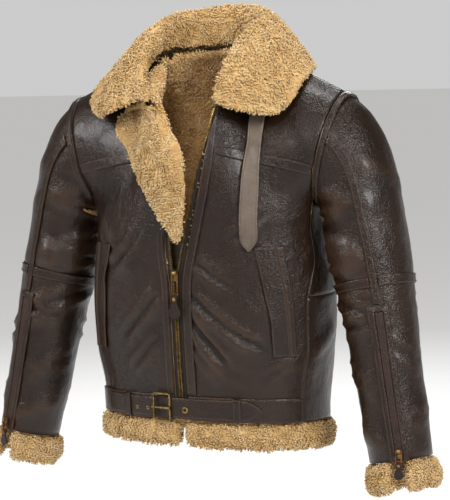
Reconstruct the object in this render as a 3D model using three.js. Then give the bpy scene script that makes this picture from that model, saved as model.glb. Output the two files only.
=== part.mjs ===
// Sheepskin flying jacket, worn shape with no wearer: leather outside, fleece inside.
// Millimetres, +Z up, the front faces -Y and the wearer's left side is +X.
// The origin lies midway between the shoulders, at the height where they carry the jacket.
import * as THREE from 'three';
import { mergeVertices } from 'three/addons/utils/BufferGeometryUtils.js';

// Driving dimensions
const wall = 9;              // sheepskin: leather and clipped fleece together
const sleeveWall = 8;
const stripThick = 1.6;      // leather strips that lie on the panels
const beltThick = 2.6;
const seam = 0.3;            // gap between pieces that are sewn together
const lie = 0.5;             // gap under a piece that lies on a panel
const furThick = 22;         // collar and lapel, fur included
const hemZ = -588;           // lower edge of the leather
const beltTopZ = -546;
const hemRise = 14;          // the hem rides up this much at the front
const chestZ = -265;         // height where the plain rings end and the shaped chest begins
const sliderZ = -336;        // the front zip is closed up to here
const neckPoint = new THREE.Vector3(90, 8, 27);
const shoulderPoint = new THREE.Vector3(246, 4, -38);
const neckBack = new THREE.Vector3(0, 86, 36);
const armhole = { z: -133, high: 95, front: 78, back: 80, topX: 246, midX: 224, lowX: 202 };
const cuffZ = -632;

// Body rings: height, half width, depth to the front and to the back
const bodyRings = [
  { z: -640, wide: 199, front: 137, back: 124 },
  { z: -588, wide: 202, front: 139, back: 126 },
  { z: -546, wide: 203, front: 140, back: 128 },
  { z: -500, wide: 209, front: 144, back: 131 },
  { z: -440, wide: 215, front: 147, back: 134 },
  { z: -370, wide: 217, front: 149, back: 136 },
  { z: -300, wide: 210, front: 150, back: 137 },
  { z: -265, wide: 205, front: 150, back: 137 },
];
const ringPower = 2.25;      // 2 is an ellipse, more is squarer

// Sleeve rings below the cap: height, centre, half width and half depth
const sleeveRings = [
  { z: -262, x: 281, y: -4, wide: 65, deep: 77 },
  { z: -305, x: 291, y: -10, wide: 65, deep: 72 },
  { z: -352, x: 301, y: -17, wide: 63, deep: 67 },
  { z: -430, x: 316, y: -28, wide: 59, deep: 61 },
  { z: -530, x: 334, y: -41, wide: 55, deep: 57 },
  { z: -632, x: 353, y: -54, wide: 52, deep: 54 },
  { z: -700, x: 364, y: -62, wide: 52, deep: 54 },
];

// Side seam: angle from the front centre, at each height
const sideSeam = [
  { z: -640, angle: 65 }, { z: -588, angle: 65 }, { z: -440, angle: 65 }, { z: -365, angle: 66 },
  { z: -310, angle: 76 }, { z: -265, angle: 74 },
];

// Where the two rows of zip teeth run, above the slider the left one leans away
const teethLeft = [
  { z: -640, x: 0.6 }, { z: -350, x: 0.6 }, { z: -336, x: 1.5 }, { z: -289, x: 12 }, { z: -247, x: 22 },
  { z: -191, x: 35 }, { z: -138, x: 44 }, { z: -94, x: 50 }, { z: -44, x: 60 },
];
const tapeWide = 11;
// Edge of the right front, measured towards the wearer's right; its top follows the lapel's roll
const edgeRight = [
  { z: -640, x: 11.9 }, { z: -350, x: 11.9 }, { z: -317, x: 15.5 }, { z: -262, x: 17.5 }, { z: -215, x: 0 },
  { z: -180, x: -12 }, { z: -138, x: -4 }, { z: -94, x: 16 }, { z: -44, x: 50 },
];

// Largest folds of the body: start and end as angle and height, half width and height of the ridge
const bodyFolds = [
  { a0: 9, z0: -345, a1: 44, z1: -425, half: 17, rise: 7 },
  { a0: 7, z0: -395, a1: 34, z1: -478, half: 16, rise: 6 },
  { a0: 10, z0: -305, a1: 36, z1: -328, half: 15, rise: 4 },
  { a0: 50, z0: -500, a1: 86, z1: -445, half: 17, rise: 5 },
  { a0: 82, z0: -330, a1: 112, z1: -352, half: 15, rise: 5 },
  { a0: -10, z0: -372, a1: -40, z1: -440, half: 16, rise: 5 },
  { a0: -16, z0: -300, a1: -44, z1: -352, half: 16, rise: 5 },
  { a0: -52, z0: -505, a1: -88, z1: -450, half: 17, rise: 5 },
  { a0: -84, z0: -335, a1: -116, z1: -350, half: 15, rise: 5 },
  { a0: 128, z0: -462, a1: 172, z1: -492, half: 18, rise: 6 },
  { a0: 188, z0: -500, a1: 232, z1: -455, half: 18, rise: 6 },
  { a0: 140, z0: -372, a1: 205, z1: -398, half: 18, rise: 6 },
  { a0: 122, z0: -300, a1: 150, z1: -330, half: 16, rise: 5 },
];

// Largest folds of a sleeve: angle round it, height, how far it runs, half width and height
const sleeveFolds = [
  { angle: 120, z: -300, span: 50, slope: 0.35, half: 13, rise: 5 },
  { angle: 150, z: -335, span: 55, slope: -0.25, half: 13, rise: 6 },
  { angle: 110, z: -395, span: 60, slope: 0.3, half: 14, rise: 5 },
  { angle: 60, z: -470, span: 45, slope: -0.4, half: 15, rise: 4 },
  { angle: 250, z: -315, span: 60, slope: 0.3, half: 15, rise: 5 },
  { angle: 260, z: -400, span: 65, slope: -0.3, half: 15, rise: 5 },
  { angle: 20, z: -250, span: 45, slope: 0.5, half: 15, rise: 4 },
  { angle: 200, z: -540, span: 60, slope: 0.3, half: 16, rise: 4 },
];

const colours = {
  leather: { color: '#33231b', roughness: 0.42, metalness: 0 },
  strip: { color: '#3a2a21', roughness: 0.4, metalness: 0 },
  strap: { color: '#6a5c50', roughness: 0.5, metalness: 0 },
  gusset: { color: '#5a3222', roughness: 0.5, metalness: 0 },
  fur: { color: '#c7a273', roughness: 0.95, metalness: 0 },
  tape: { color: '#241b17', roughness: 0.8, metalness: 0 },
  brass: { color: '#9c8450', roughness: 0.35, metalness: 1 },
};

const jacket = new THREE.Group();
const degrees = Math.PI / 180;
const clamp = THREE.MathUtils.clamp;
const mix = THREE.MathUtils.lerp;
const ease = (t) => t * t * (3 - 2 * t);
const steps = (count, from = 0, to = 1) => Array.from({ length: count + 1 }, (_, i) => mix(from, to, i / count));
const between = (a, b, t) => a.clone().lerp(b, t);
const vec = (x, y, z) => new THREE.Vector3(x, y, z);

// Smooth reading of a table whose rows are sorted by z, at height z
function read(table, column, z) {
  const rows = table[0].z < table[table.length - 1].z ? table : [...table].reverse();
  const at = clamp(z, rows[0].z, rows[rows.length - 1].z);
  let i = rows.findIndex((row) => row.z >= at);
  i = Math.max(i, 1);
  const [p, q] = [rows[i - 1], rows[i]];
  const before = rows[i - 2] ?? p;
  const after = rows[i + 1] ?? q;
  const span = q.z - p.z;
  const t = (at - p.z) / span;
  const slopeP = (q[column] - before[column]) / (q.z - before.z) * span;
  const slopeQ = (after[column] - p[column]) / (after.z - p.z) * span;
  const t2 = t * t;
  const t3 = t2 * t;
  return (2 * t3 - 3 * t2 + 1) * p[column] + (t3 - 2 * t2 + t) * slopeP
    + (3 * t2 - 2 * t3) * q[column] + (t3 - t2) * slopeQ;
}

const power = (value, exponent) => Math.sign(value) * Math.abs(value) ** exponent;

// Height that a ridge adds at a distance from its line, fading towards its ends
function ridge(across, along, fold) {
  const fade = clamp(Math.min(along, 1 - along) * 4 + 0.35, 0, 1);
  return fold.rise * fade * Math.exp(-((across / fold.half) ** 2));
}

// Body surface from hem to chest: angle in degrees from the front centre, towards the wearer's left
function body(angle, z) {
  const wide = read(bodyRings, 'wide', z);
  const c = Math.cos(angle * degrees);
  const s = Math.sin(angle * degrees);
  const deep = read(bodyRings, c > 0 ? 'front' : 'back', z);
  const radial = vec(wide * power(s, 2 / ringPower), -deep * power(c, 2 / ringPower), 0);
  const turn = ((angle % 360) + 360) % 360;
  let lift = 0;
  for (const fold of bodyFolds) {
    for (const shift of [0, 360]) {
      const start = vec((fold.a0 + shift) * 3.2, fold.z0, 0);
      const line = vec((fold.a1 - fold.a0) * 3.2, fold.z1 - fold.z0, 0);
      const here = vec(turn * 3.2, z, 0).sub(start);
      const along = here.dot(line) / line.lengthSq();
      if (along < -0.1 || along > 1.1) continue;
      lift += ridge(here.addScaledVector(line, -along).length(), along, fold);
    }
  }
  const settled = ease(clamp((chestZ - z) / 60, 0, 1)) * ease(clamp((z - beltTopZ) / 30, 0, 1));
  radial.setLength(radial.length() + lift * settled);
  radial.z = z + hemRise * c * ease(clamp((chestZ - z) / (chestZ - hemZ), 0, 1));
  return radial;
}

// Angle at which the body ring at height z lies x to the side of the front centre
const angleAtX = (x, z) => Math.asin(power(x / read(bodyRings, 'wide', z), ringPower / 2)) / degrees;

// Armhole, 0 at the shoulder, 90 at the front, 180 under the arm
function armholePoint(angle) {
  const c = Math.cos(angle * degrees);
  const s = Math.sin(angle * degrees);
  const x = armhole.midX + (c > 0 ? (armhole.topX - armhole.midX) * c : (armhole.midX - armhole.lowX) * c);
  const reach = s > 0 ? armhole.front : armhole.back;
  return vec(x, -reach * s + 4 * c, armhole.z + armhole.high * c);
}

// Direction of the sewn edge there, shared by the body and the sleeve
function armholeNormal(angle) {
  const c = Math.cos(angle * degrees);
  return vec(c > 0 ? 0.22 + 0.12 * c : 0.22 - 0.2 * c, -Math.sin(angle * degrees), c).normalize();
}
const armholeSeam = { front: 144, back: 216 };   // where the side seams meet the armhole

// Runs along several curves one after another, each with its share of the whole
function chain(parts) {
  return (t) => {
    let start = 0;
    for (const part of parts) {
      if (t <= start + part.share + 1e-9) return part.point(clamp((t - start) / part.share, 0, 1));
      start += part.share;
    }
    return parts[parts.length - 1].point(1);
  };
}
const spline = (points) => {
  const curve = new THREE.CatmullRomCurve3(points, false, 'centripetal');
  return (t) => curve.getPoint(clamp(t, 0, 1));
};

// Four-sided patch between its edge curves; it leaves its lower edge straight up
function patch(low, high, left, right) {
  const corner = [low(0), low(1), high(0), high(1)];
  return (u, v) => {
    const w = ease(v);
    const rows = low(u).multiplyScalar(1 - w).addScaledVector(high(u), w);
    const columns = left(v).multiplyScalar(1 - u).addScaledVector(right(v), u);
    const flat = between(corner[0], corner[1], u).lerp(between(corner[2], corner[3], u), w);
    return rows.add(columns).sub(flat);
  };
}

const shoulder = (t) => {
  const point = between(neckPoint, shoulderPoint, t);
  point.z += 5 * Math.sin(Math.PI * t);
  return point;
};

// Front edges from the chest to the neckline, as own-side distance, y and z
const edges = {
  left: spline([
    body(angleAtX(read(teethLeft, 'x', chestZ) + tapeWide + seam, chestZ), chestZ),
    vec(47, -150, -191), vec(56, -142, -138), vec(62, -129, -94), vec(71, -108, -44)]),
  right: spline([
    body(angleAtX(read(edgeRight, 'x', chestZ), chestZ), chestZ),
    vec(-7, -151, -205), vec(-10, -148, -170), vec(-3, -142, -138), vec(16, -129, -94), vec(50, -110, -44)]),
};
const neckFront = {
  left: spline([vec(71, -108, -44), vec(82, -80, -18), vec(90, -42, 6), neckPoint]),
  right: spline([vec(50, -110, -44), vec(74, -86, -20), vec(89, -44, 6), neckPoint]),
};
const neckBackHalf = spline([neckPoint, vec(80, 48, 30), vec(46, 76, 34), neckBack]);

const seamAngle = (z) => read(sideSeam, 'angle', z);
const frontEdgeX = {
  left: (z) => read(teethLeft, 'x', z) + tapeWide + seam,
  right: (z) => read(edgeRight, 'x', z),
};

const frontSide = chain([
  { share: 0.24, point: (t) => between(body(seamAngle(chestZ), chestZ), armholePoint(armholeSeam.front), t) },
  { share: 0.76, point: (t) => armholePoint(mix(armholeSeam.front, 0, t)) },
]);
const neckColumns = 5;         // columns of a front panel that end at the neckline
const shoulderColumns = 7;     // and at the shoulder seam
const neckShare = neckColumns / (neckColumns + shoulderColumns);

// Upper front, u from the zip edge to the armhole and v from the chest to the shoulder
const chestFront = {};
for (const side of ['left', 'right']) {
  const start = angleAtX(frontEdgeX[side](chestZ), chestZ);
  chestFront[side] = patch(
    (u) => body(mix(start, seamAngle(chestZ), u), chestZ),
    chain([{ share: neckShare, point: neckFront[side] }, { share: 1 - neckShare, point: shoulder }]),
    edges[side],
    frontSide,
  );
}
const mirrored = (point) => vec(-point.x, point.y, point.z);
const backSide = chain([
  { share: 0.24, point: (t) => between(body(180 - seamAngle(chestZ), chestZ), armholePoint(armholeSeam.back), t) },
  { share: 0.76, point: (t) => armholePoint(mix(armholeSeam.back, 360, t)) },
]);
const backColumns = 2 * (neckColumns + shoulderColumns);
const backShoulderShare = shoulderColumns / backColumns;

// Upper back, u from the wearer's left armhole to the right one
const backPatch = patch(
  (u) => body(mix(180 - seamAngle(chestZ), 180 + seamAngle(chestZ), u), chestZ),
  chain([
    { share: backShoulderShare, point: (t) => shoulder(1 - t) },
    { share: 0.5 - backShoulderShare, point: neckBackHalf },
    { share: 0.5 - backShoulderShare, point: (t) => mirrored(neckBackHalf(1 - t)) },
    { share: backShoulderShare, point: (t) => mirrored(shoulder(t)) },
  ]),
  backSide,
  (t) => mirrored(backSide(t)),
);
const backHollow = 27;                    // keeps the middle of the upper back from humping
const chestBack = (u, v) => {
  const point = backPatch(u, v);
  point.y -= backHollow * Math.sin(Math.PI * clamp(u, 0, 1)) ** 1.5 * Math.sin(Math.PI * clamp(v, 0, 1));
  return point;
};

// Side panel under the arm
const chestSide = patch(
  (u) => body(mix(seamAngle(chestZ), 180 - seamAngle(chestZ), u), chestZ),
  (u) => armholePoint(mix(armholeSeam.front, armholeSeam.back, u)),
  (v) => between(body(seamAngle(chestZ), chestZ), armholePoint(armholeSeam.front), v),
  (v) => between(body(180 - seamAngle(chestZ), chestZ), armholePoint(armholeSeam.back), v),
);

const insideBody = (p) => vec(p.x * 0.3, 0, Math.min(p.z, -120));

// How far each point of a grid moves so that its edges stand half a seam gap back
function setBack(grid, gap) {
  const last = grid.length - 1;
  const end = grid[0].length - 1;
  const towards = (p, q) => q.clone().sub(p).setLength(gap);
  return grid.map((row, r) => row.map((p, c) => {
    const move = vec(0, 0, 0);
    if (c === 0) move.add(towards(p, row[1]));
    if (c === end) move.add(towards(p, row[end - 1]));
    if (r === 0) move.add(towards(p, grid[1][c]));
    if (r === last) move.add(towards(p, grid[last - 1][c]));
    return move;
  }));
}

// Closed solid between an outer and an inner grid; wrapped grids close round on themselves
function shell(outer, inner, wrapped = false) {
  const rows = outer.length;
  const columns = outer[0].length;
  const points = [...outer.flat(), ...inner.flat()];
  const index = [];
  const quad = (a, b, c, d) => index.push(a, b, c, a, c, d);
  const out = (r, c) => r * columns + (c % columns);
  const into = (r, c) => rows * columns + out(r, c);
  const lastColumn = wrapped ? columns : columns - 1;
  for (let r = 0; r < rows - 1; r++) {
    for (let c = 0; c < lastColumn; c++) {
      quad(out(r, c), out(r, c + 1), out(r + 1, c + 1), out(r + 1, c));
      quad(into(r, c), into(r + 1, c), into(r + 1, c + 1), into(r, c + 1));
    }
    if (!wrapped) {
      quad(out(r, 0), out(r + 1, 0), into(r + 1, 0), into(r, 0));
      quad(out(r, lastColumn), into(r, lastColumn), into(r + 1, lastColumn), out(r + 1, lastColumn));
    }
  }
  for (let c = 0; c < lastColumn; c++) {
    quad(out(0, c + 1), out(0, c), into(0, c), into(0, c + 1));
    quad(out(rows - 1, c + 1), into(rows - 1, c + 1), into(rows - 1, c), out(rows - 1, c));
  }
  return closedGeometry(points, index);
}

// Geometry from points and triangles, turned so that its faces point out
function closedGeometry(points, index) {
  let volume = 0;
  for (let i = 0; i < index.length; i += 3) {
    const [a, b, c] = [points[index[i]], points[index[i + 1]], points[index[i + 2]]];
    volume += a.dot(b.clone().cross(c));
  }
  const faces = volume > 0 ? index : [...index].reverse();
  const geometry = new THREE.BufferGeometry();
  geometry.setAttribute('position', new THREE.Float32BufferAttribute(points.flatMap((p) => [p.x, p.y, p.z]), 3));
  geometry.setIndex(faces);
  geometry.computeVertexNormals();
  return geometry;
}

// Solid lofted through closed sections, flat at both ends
function loft(sections) {
  const count = sections[0].length;
  const points = sections.flat();
  const index = [];
  for (let s = 0; s < sections.length - 1; s++) {
    for (let i = 0; i < count; i++) {
      const j = (i + 1) % count;
      const [a, b, c, d] = [s * count + i, s * count + j, (s + 1) * count + j, (s + 1) * count + i];
      index.push(a, b, c, a, c, d);
    }
  }
  for (const [section, turned] of [[0, true], [sections.length - 1, false]]) {
    const centre = points.length;
    const middle = vec(0, 0, 0);
    sections[section].forEach((p) => middle.add(p));
    points.push(middle.divideScalar(count));
    for (let i = 0; i < count; i++) {
      const [a, b] = [section * count + i, section * count + (i + 1) % count];
      index.push(centre, turned ? b : a, turned ? a : b);
    }
  }
  return closedGeometry(points, index);
}

function add(name, geometry, colour) {
  const mesh = new THREE.Mesh(geometry, new THREE.MeshStandardMaterial(colours[colour]));
  mesh.name = name;
  jacket.add(mesh);
  return mesh;
}

const toSide = (side, grid) => (side === 'left' ? grid : grid.map((row) => row.map(mirrored)));

// Outward direction of a surface at (u, v), worked out from the points round it
function normalAt(surface, u, v, inside, du, dv) {
  const across = surface(u + du, v).sub(surface(u - du, v));
  const up = surface(u, v + dv).sub(surface(u, v - dv));
  const normal = across.cross(up).normalize();
  return normal.dot(surface(u, v).sub(inside(surface(u, v)))) < 0 ? normal.negate() : normal;
}

// Panel of sheepskin: its outer points come from a surface at the given (u, v) cells
function addPanel(name, side, surface, normal, cells, thickness = wall, gap = seam / 2) {
  const sewn = cells.map((row) => row.map(([u, v]) => surface(u, v)));
  const moves = setBack(sewn, gap);
  const outer = sewn.map((row, r) => row.map((p, c) => p.clone().add(moves[r][c])));
  const inner = outer.map((row, r) => row.map((p, c) => (
    p.clone().addScaledVector(normal(...cells[r][c]), -thickness))));
  add(name, shell(toSide(side, outer), toSide(side, inner)), 'leather');
}

// Strip that lies on a surface: the same points, moved out
function addStrip(name, side, surface, normal, cells, colour, thickness = stripThick, gap = lie) {
  const lifted = (height) => cells.map((row) => row.map(([u, v]) => (
    surface(u, v).addScaledVector(normal(u, v), height))));
  add(name, shell(toSide(side, lifted(gap + thickness)), toSide(side, lifted(gap))), colour);
}

const bodyNormal = (angle, z) => normalAt(body, angle, z, insideBody, 0.6, 3);
const shoulderNormal = (t) => vec(mix(0.3, 0.42, t), 0, 0.9).normalize();
const seamNormal = (angle, end) => (t) => bodyNormal(angle, chestZ).lerp(armholeNormal(end), ease(t)).normalize();
const frontSeamNormal = seamNormal(seamAngle(chestZ), armholeSeam.front);
const backSeamNormal = seamNormal(180 - seamAngle(chestZ), armholeSeam.back);
const zOf = (v) => mix(hemZ, chestZ, v);
const tiny = 1e-6;

// Whole front, u from the zip edge to the side, v 0 to 1 from hem to chest and 1 to 2 on to the shoulder
const front = {};
const frontNormal = {};
for (const side of ['left', 'right']) {
  const sign = side === 'left' ? 1 : -1;
  const own = (p) => vec(sign * p.x, p.y, p.z);
  const behind = (p) => p.clone().add(vec(-0.8, 0.6, 0));
  const angleAt = (u, z) => mix(angleAtX(frontEdgeX[side](z), z), seamAngle(z), u);
  front[side] = (u, v) => (v < 1 ? own(body(sign * angleAt(u, zOf(v)), zOf(v))) : chestFront[side](u, v - 1));
  frontNormal[side] = (u, v) => {
    if (v <= 1) return own(bodyNormal(sign * angleAt(u, zOf(v)), zOf(v)));
    if (u >= 1) {
      return v < 1.24 ? frontSeamNormal((v - 1) / 0.24)
        : armholeNormal(mix(armholeSeam.front, 0, (v - 1.24) / 0.76));
    }
    if (v > 2 - tiny && u > neckShare - tiny) return shoulderNormal((u - neckShare) / (1 - neckShare));
    const normal = normalAt(chestFront[side], clamp(u, 0.02, 0.98), clamp(v - 1, 0.02, 0.97), behind, 0.02, 0.02);
    const corner = u > neckShare ? 0 : ease(clamp((v - 1.6) / 0.4, 0, 1)) * ease(u / neckShare);
    return normal.lerp(shoulderNormal(0), 0.6 * corner).normalize();
  };
}
const sideSurface = {};
const sideNormal = {};
for (const side of ['left', 'right']) {
  const sign = side === 'left' ? 1 : -1;
  const own = (p) => vec(sign * p.x, p.y, p.z);
  const angleAt = (u, z) => sign * mix(seamAngle(z), 180 - seamAngle(z), u);
  sideSurface[side] = (u, v) => (v < 1 ? own(body(angleAt(u, zOf(v)), zOf(v))) : chestSide(u, v - 1));
  sideNormal[side] = (u, v) => {
    if (v <= 1) return own(bodyNormal(angleAt(u, zOf(v)), zOf(v)));
    if (v > 2 - tiny) return armholeNormal(mix(armholeSeam.front, armholeSeam.back, u));
    if (u <= 0) return frontSeamNormal(v - 1);
    if (u >= 1) return backSeamNormal(v - 1);
    return normalAt(chestSide, clamp(u, 0.02, 0.98), clamp(v - 1, 0.02, 0.9), insideBody, 0.02, 0.02);
  };
}
const back = (u, v) => (v < 1 ? body(mix(180 - seamAngle(zOf(v)), 180 + seamAngle(zOf(v)), u), zOf(v))
  : chestBack(u, v - 1));
const backNormal = (u, v) => {
  if (v <= 1) return bodyNormal(mix(180 - seamAngle(zOf(v)), 180 + seamAngle(zOf(v)), u), zOf(v));
  if (u > 0.5) return mirrored(backNormal(1 - u, v));
  if (u <= 0) {
    return v < 1.24 ? backSeamNormal((v - 1) / 0.24)
      : armholeNormal(mix(armholeSeam.back, 360, (v - 1.24) / 0.76));
  }
  if (v > 2 - tiny && u < backShoulderShare + tiny) return shoulderNormal(1 - u / backShoulderShare);
  return normalAt(chestBack, clamp(u, 0.01, 0.99), clamp(v - 1, 0.02, 0.97), insideBody, 0.01, 0.02);
};

// Rows that all pieces share, so that their seams meet point to point
const lowerV = steps(12);                 // hem to chest
const sideSplit = 8;                      // row of the cross seam of the side panels
const seamV = [0.12, 0.24];               // up the side seam to the armhole
const armholeRows = 8;
const yokeRow = 2;                        // row of the yoke seam, counted up the armhole
const upperV = [...seamV, ...steps(armholeRows, 0.24, 1).slice(1)].map((v) => 1 + v);
const sides = ['left', 'right'];
const grid = (vs, us) => vs.map((v) => us.map((u) => [u, v]));

// The yoke seam runs almost level from the zip to a point of the armhole
const yokeZipZ = -121;
const yokeArmZ = armholePoint(mix(armholeSeam.front, 0, yokeRow / armholeRows)).z;
const yokeV = {};
for (const side of sides) {
  yokeV[side] = (u) => {
    let [low, high] = [1, 1.95];
    for (let i = 0; i < 30; i++) {
      const v = (low + high) / 2;
      if (front[side](u, v).z < mix(yokeZipZ, yokeArmZ, u)) low = v;
      else high = v;
    }
    return (low + high) / 2;
  };
}

// Front panel and yoke of each side; the yoke seam drops towards the armhole
const yokeStart = seamV.length + yokeRow;
for (const side of sides) {
  const us = steps(neckColumns + shoulderColumns);
  const upper = (from, to, start, end) => steps(to - from).map((t, i) => {
    const station = ((from + i ? upperV[from + i - 1] : 1) - start(1)) / (end(1) - start(1));
    return us.map((u) => [u, mix(start(u), end(u), mix(t, station, u * u))]);
  });
  addPanel(`front_${side}`, side, front[side], frontNormal[side],
    [...grid(lowerV, us), ...upper(0, yokeStart, () => 1, yokeV[side]).slice(1)]);
  addPanel(`front_yoke_${side}`, side, front[side], frontNormal[side],
    upper(yokeStart, upperV.length, yokeV[side], () => 2));
}

// Side panels under the arms, in two pieces
for (const side of sides) {
  const us = steps(4);
  addPanel(`side_lower_${side}`, side, sideSurface[side], sideNormal[side],
    grid(lowerV.slice(0, sideSplit + 1), us));
  addPanel(`side_upper_${side}`, side, sideSurface[side], sideNormal[side],
    grid([...lowerV.slice(sideSplit), ...seamV.map((v) => 1 + v / 0.24)], us));
}

// Back, one piece
addPanel('back', 'left', back, backNormal, grid([...lowerV, ...upperV], steps(backColumns)));

// Sleeve surface: row 0 is the armhole, the last row the cuff
const capRows = 5;
const sleeveHeights = [-290, -320, -352, -384, -416, -450, -490, -535, -582, cuffZ];
function sleeveRing(angle, z) {
  const c = Math.cos(angle * degrees);
  const s = Math.sin(angle * degrees);
  let reach = 0;
  for (const fold of sleeveFolds) {
    const away = ((angle - fold.angle + 540) % 360) - 180;
    if (Math.abs(away) > fold.span) continue;
    const fade = Math.cos(away / fold.span * Math.PI / 2);
    reach += fold.rise * fade * Math.exp(-(((z - fold.z - away * fold.slope) / fold.half) ** 2));
  }
  const wide = read(sleeveRings, 'wide', z) + reach;
  const deep = read(sleeveRings, 'deep', z) + reach;
  const lean = { x: 0.2, y: -0.13 };        // the arm's slope, which tilts each ring
  const x = read(sleeveRings, 'x', z) + wide * c;
  const y = read(sleeveRings, 'y', z) - deep * s;
  return vec(x, y, z + lean.x * wide * c - lean.y * deep * s);
}
const sleeveTopZ = sleeveRings[0].z;
const sleeveDown = vec(0.22, -0.09, -1).normalize();
function sleeveCap(angle, t) {
  const from = armholePoint(angle);
  const to = sleeveRing(angle, sleeveTopZ);
  const length = from.distanceTo(to);
  const c = Math.cos(angle * degrees);
  const out = vec(1, 0, c > 0 ? -0.42 : -0.42 + 0.1 * c).normalize();
  const t2 = t * t;
  const t3 = t2 * t;
  return from.multiplyScalar(2 * t3 - 3 * t2 + 1)
    .addScaledVector(out, (t3 - 2 * t2 + t) * length * 1.05)
    .addScaledVector(to, 3 * t2 - 2 * t3)
    .addScaledVector(sleeveDown, (t3 - t2) * length * 0.9);
}
function sleevePoint(angle, row) {
  if (row <= capRows) return sleeveCap(angle, row / capRows);
  const step = row - capRows;
  const low = Math.floor(step);
  const heights = [sleeveTopZ, ...sleeveHeights];
  return sleeveRing(angle, mix(heights[low], heights[Math.min(low + 1, heights.length - 1)], step - low));
}
const sleeveCentre = (p) => vec(
  p.z > sleeveTopZ ? 215 : read(sleeveRings, 'x', p.z), read(sleeveRings, 'y', p.z),
  p.z > sleeveTopZ ? -190 : p.z + 10);
const sleeveSeams = { front: 72, back: 252 };
const sleeveStep = 18;                    // degrees between the points of a ring
const lastSleeveRow = capRows + sleeveHeights.length;
const elbowRow = capRows + 3;             // the elbow seam lies on this row
const sleeveNormal = (angle, row) => (row <= 0 ? armholeNormal(angle)
  : normalAt(sleevePoint, angle, clamp(row, 0.3, lastSleeveRow - 0.3), sleeveCentre, 3, 0.25));

// Sleeves, each cut in four: an outer and an under piece, above and below the elbow seam
for (const side of sides) {
  for (const [name, a0, a1] of [['outer', sleeveSeams.front, sleeveSeams.back - 360],
    ['under', sleeveSeams.front, sleeveSeams.back]]) {
    const angles = steps(Math.abs(a1 - a0) / sleeveStep, a0, a1);
    addPanel(`sleeve_upper_${name}_${side}`, side, sleevePoint, sleeveNormal,
      grid(steps(elbowRow, 0, elbowRow), angles), sleeveWall, 0.5);
    addPanel(`sleeve_lower_${name}_${side}`, side, sleevePoint, sleeveNormal,
      grid(steps(lastSleeveRow - elbowRow, elbowRow, lastSleeveRow), angles), sleeveWall);
  }
}

// Strips on the front, d millimetres from the zip edge: positive on the panel, negative towards the zip
const besideZip = (side) => (d, v) => {
  const edge = front[side](0, v);
  const along = front[side](0.03, v).sub(edge).normalize();
  return edge.addScaledVector(along, d);
};
const zipNormal = (side) => (d, v) => frontNormal[side](0.01, Math.min(v, 1.97));
const edgeRows = {
  left: [...lowerV, ...steps(yokeStart, 1, yokeV.left(0)).slice(1),
    ...steps(upperV.length - yokeStart, yokeV.left(0), 1.97).slice(1)],
  right: [...lowerV, 1.04],
};
const beltV = (beltTopZ + 3 - hemZ) / (chestZ - hemZ);   // the fly strips stop just above the belt
const flyWide = { left: 17, right: 13 };
for (const side of sides) {
  addStrip(`zip_tape_${side}`, side, besideZip(side), zipNormal(side),
    grid(edgeRows[side], [-tapeWide + seam, -1]), 'tape', 2.4, -4.5);
  addStrip(`fly_strip_${side}`, side, besideZip(side), zipNormal(side),
    grid([beltV, ...edgeRows[side].filter((v) => v > beltV + 0.01)], [1, flyWide[side]]), 'strip', stripThick, 1);
}

// Leather flap behind the front zip
const flapDeep = wall + 3.7;
addStrip('wind_flap', 'left', (x, z) => body(angleAtX(x, z), z), (x, z) => bodyNormal(angleAtX(x, z), z),
  grid(steps(14, -572, chestZ), steps(3, -24, 26)), 'strip', 3, -flapDeep);

// Strips over the yoke seams
const tapeHalf = 5.5;
for (const side of sides) {
  const from = (flyWide.left + 3) / 215;
  const surface = (u, d) => front[side](u, yokeV[side](u) + d / 205);
  addStrip(`yoke_strip_${side}`, side, surface, (u, d) => frontNormal[side](Math.min(u, 0.985), yokeV[side](u) + d / 205),
    grid([-tapeHalf, 0, tapeHalf], [from, ...steps(10, 2 / 12, 1).slice(0, -1), 0.975]), 'strip');
}

// Strips of the sleeves: round the armhole, down the front seam and round the elbow
const capRow = (angle, d) => {
  const length = armholePoint(angle).distanceTo(sleeveRing(angle, sleeveTopZ));
  return capRows * d / (length * 1.05);
};
const sleeveHeightsAll = [sleeveTopZ, ...sleeveHeights];
const rowAtZ = (z) => {
  const i = sleeveHeightsAll.findIndex((height) => height <= z);
  const [above, below] = [sleeveHeightsAll[i - 1], sleeveHeightsAll[i]];
  return capRows + i - 1 + (above - z) / (above - below);
};
const acrossSleeve = (d, row) => sleeveSeams.front + d / 60 / degrees;
const onSleeve = (d, row) => sleevePoint(acrossSleeve(d, row), row);
const onSleeveNormal = (d, row) => sleeveNormal(acrossSleeve(d, row), Math.max(row, 0.3));
const rowsBetween = (from, to) => {
  const whole = steps(lastSleeveRow, 0, lastSleeveRow).filter((row) => row > from + 0.15 && row < to - 0.15);
  return [from, ...whole, to];
};
const elbowStart = sleeveSeams.front + 6.6;   // the elbow strip stops beside the sleeve strip
const armStripWide = 13;
const zipTop = -400;                      // upper end of a sleeve zip
const zipHalf = 6;
const bindingWide = 10;
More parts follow.
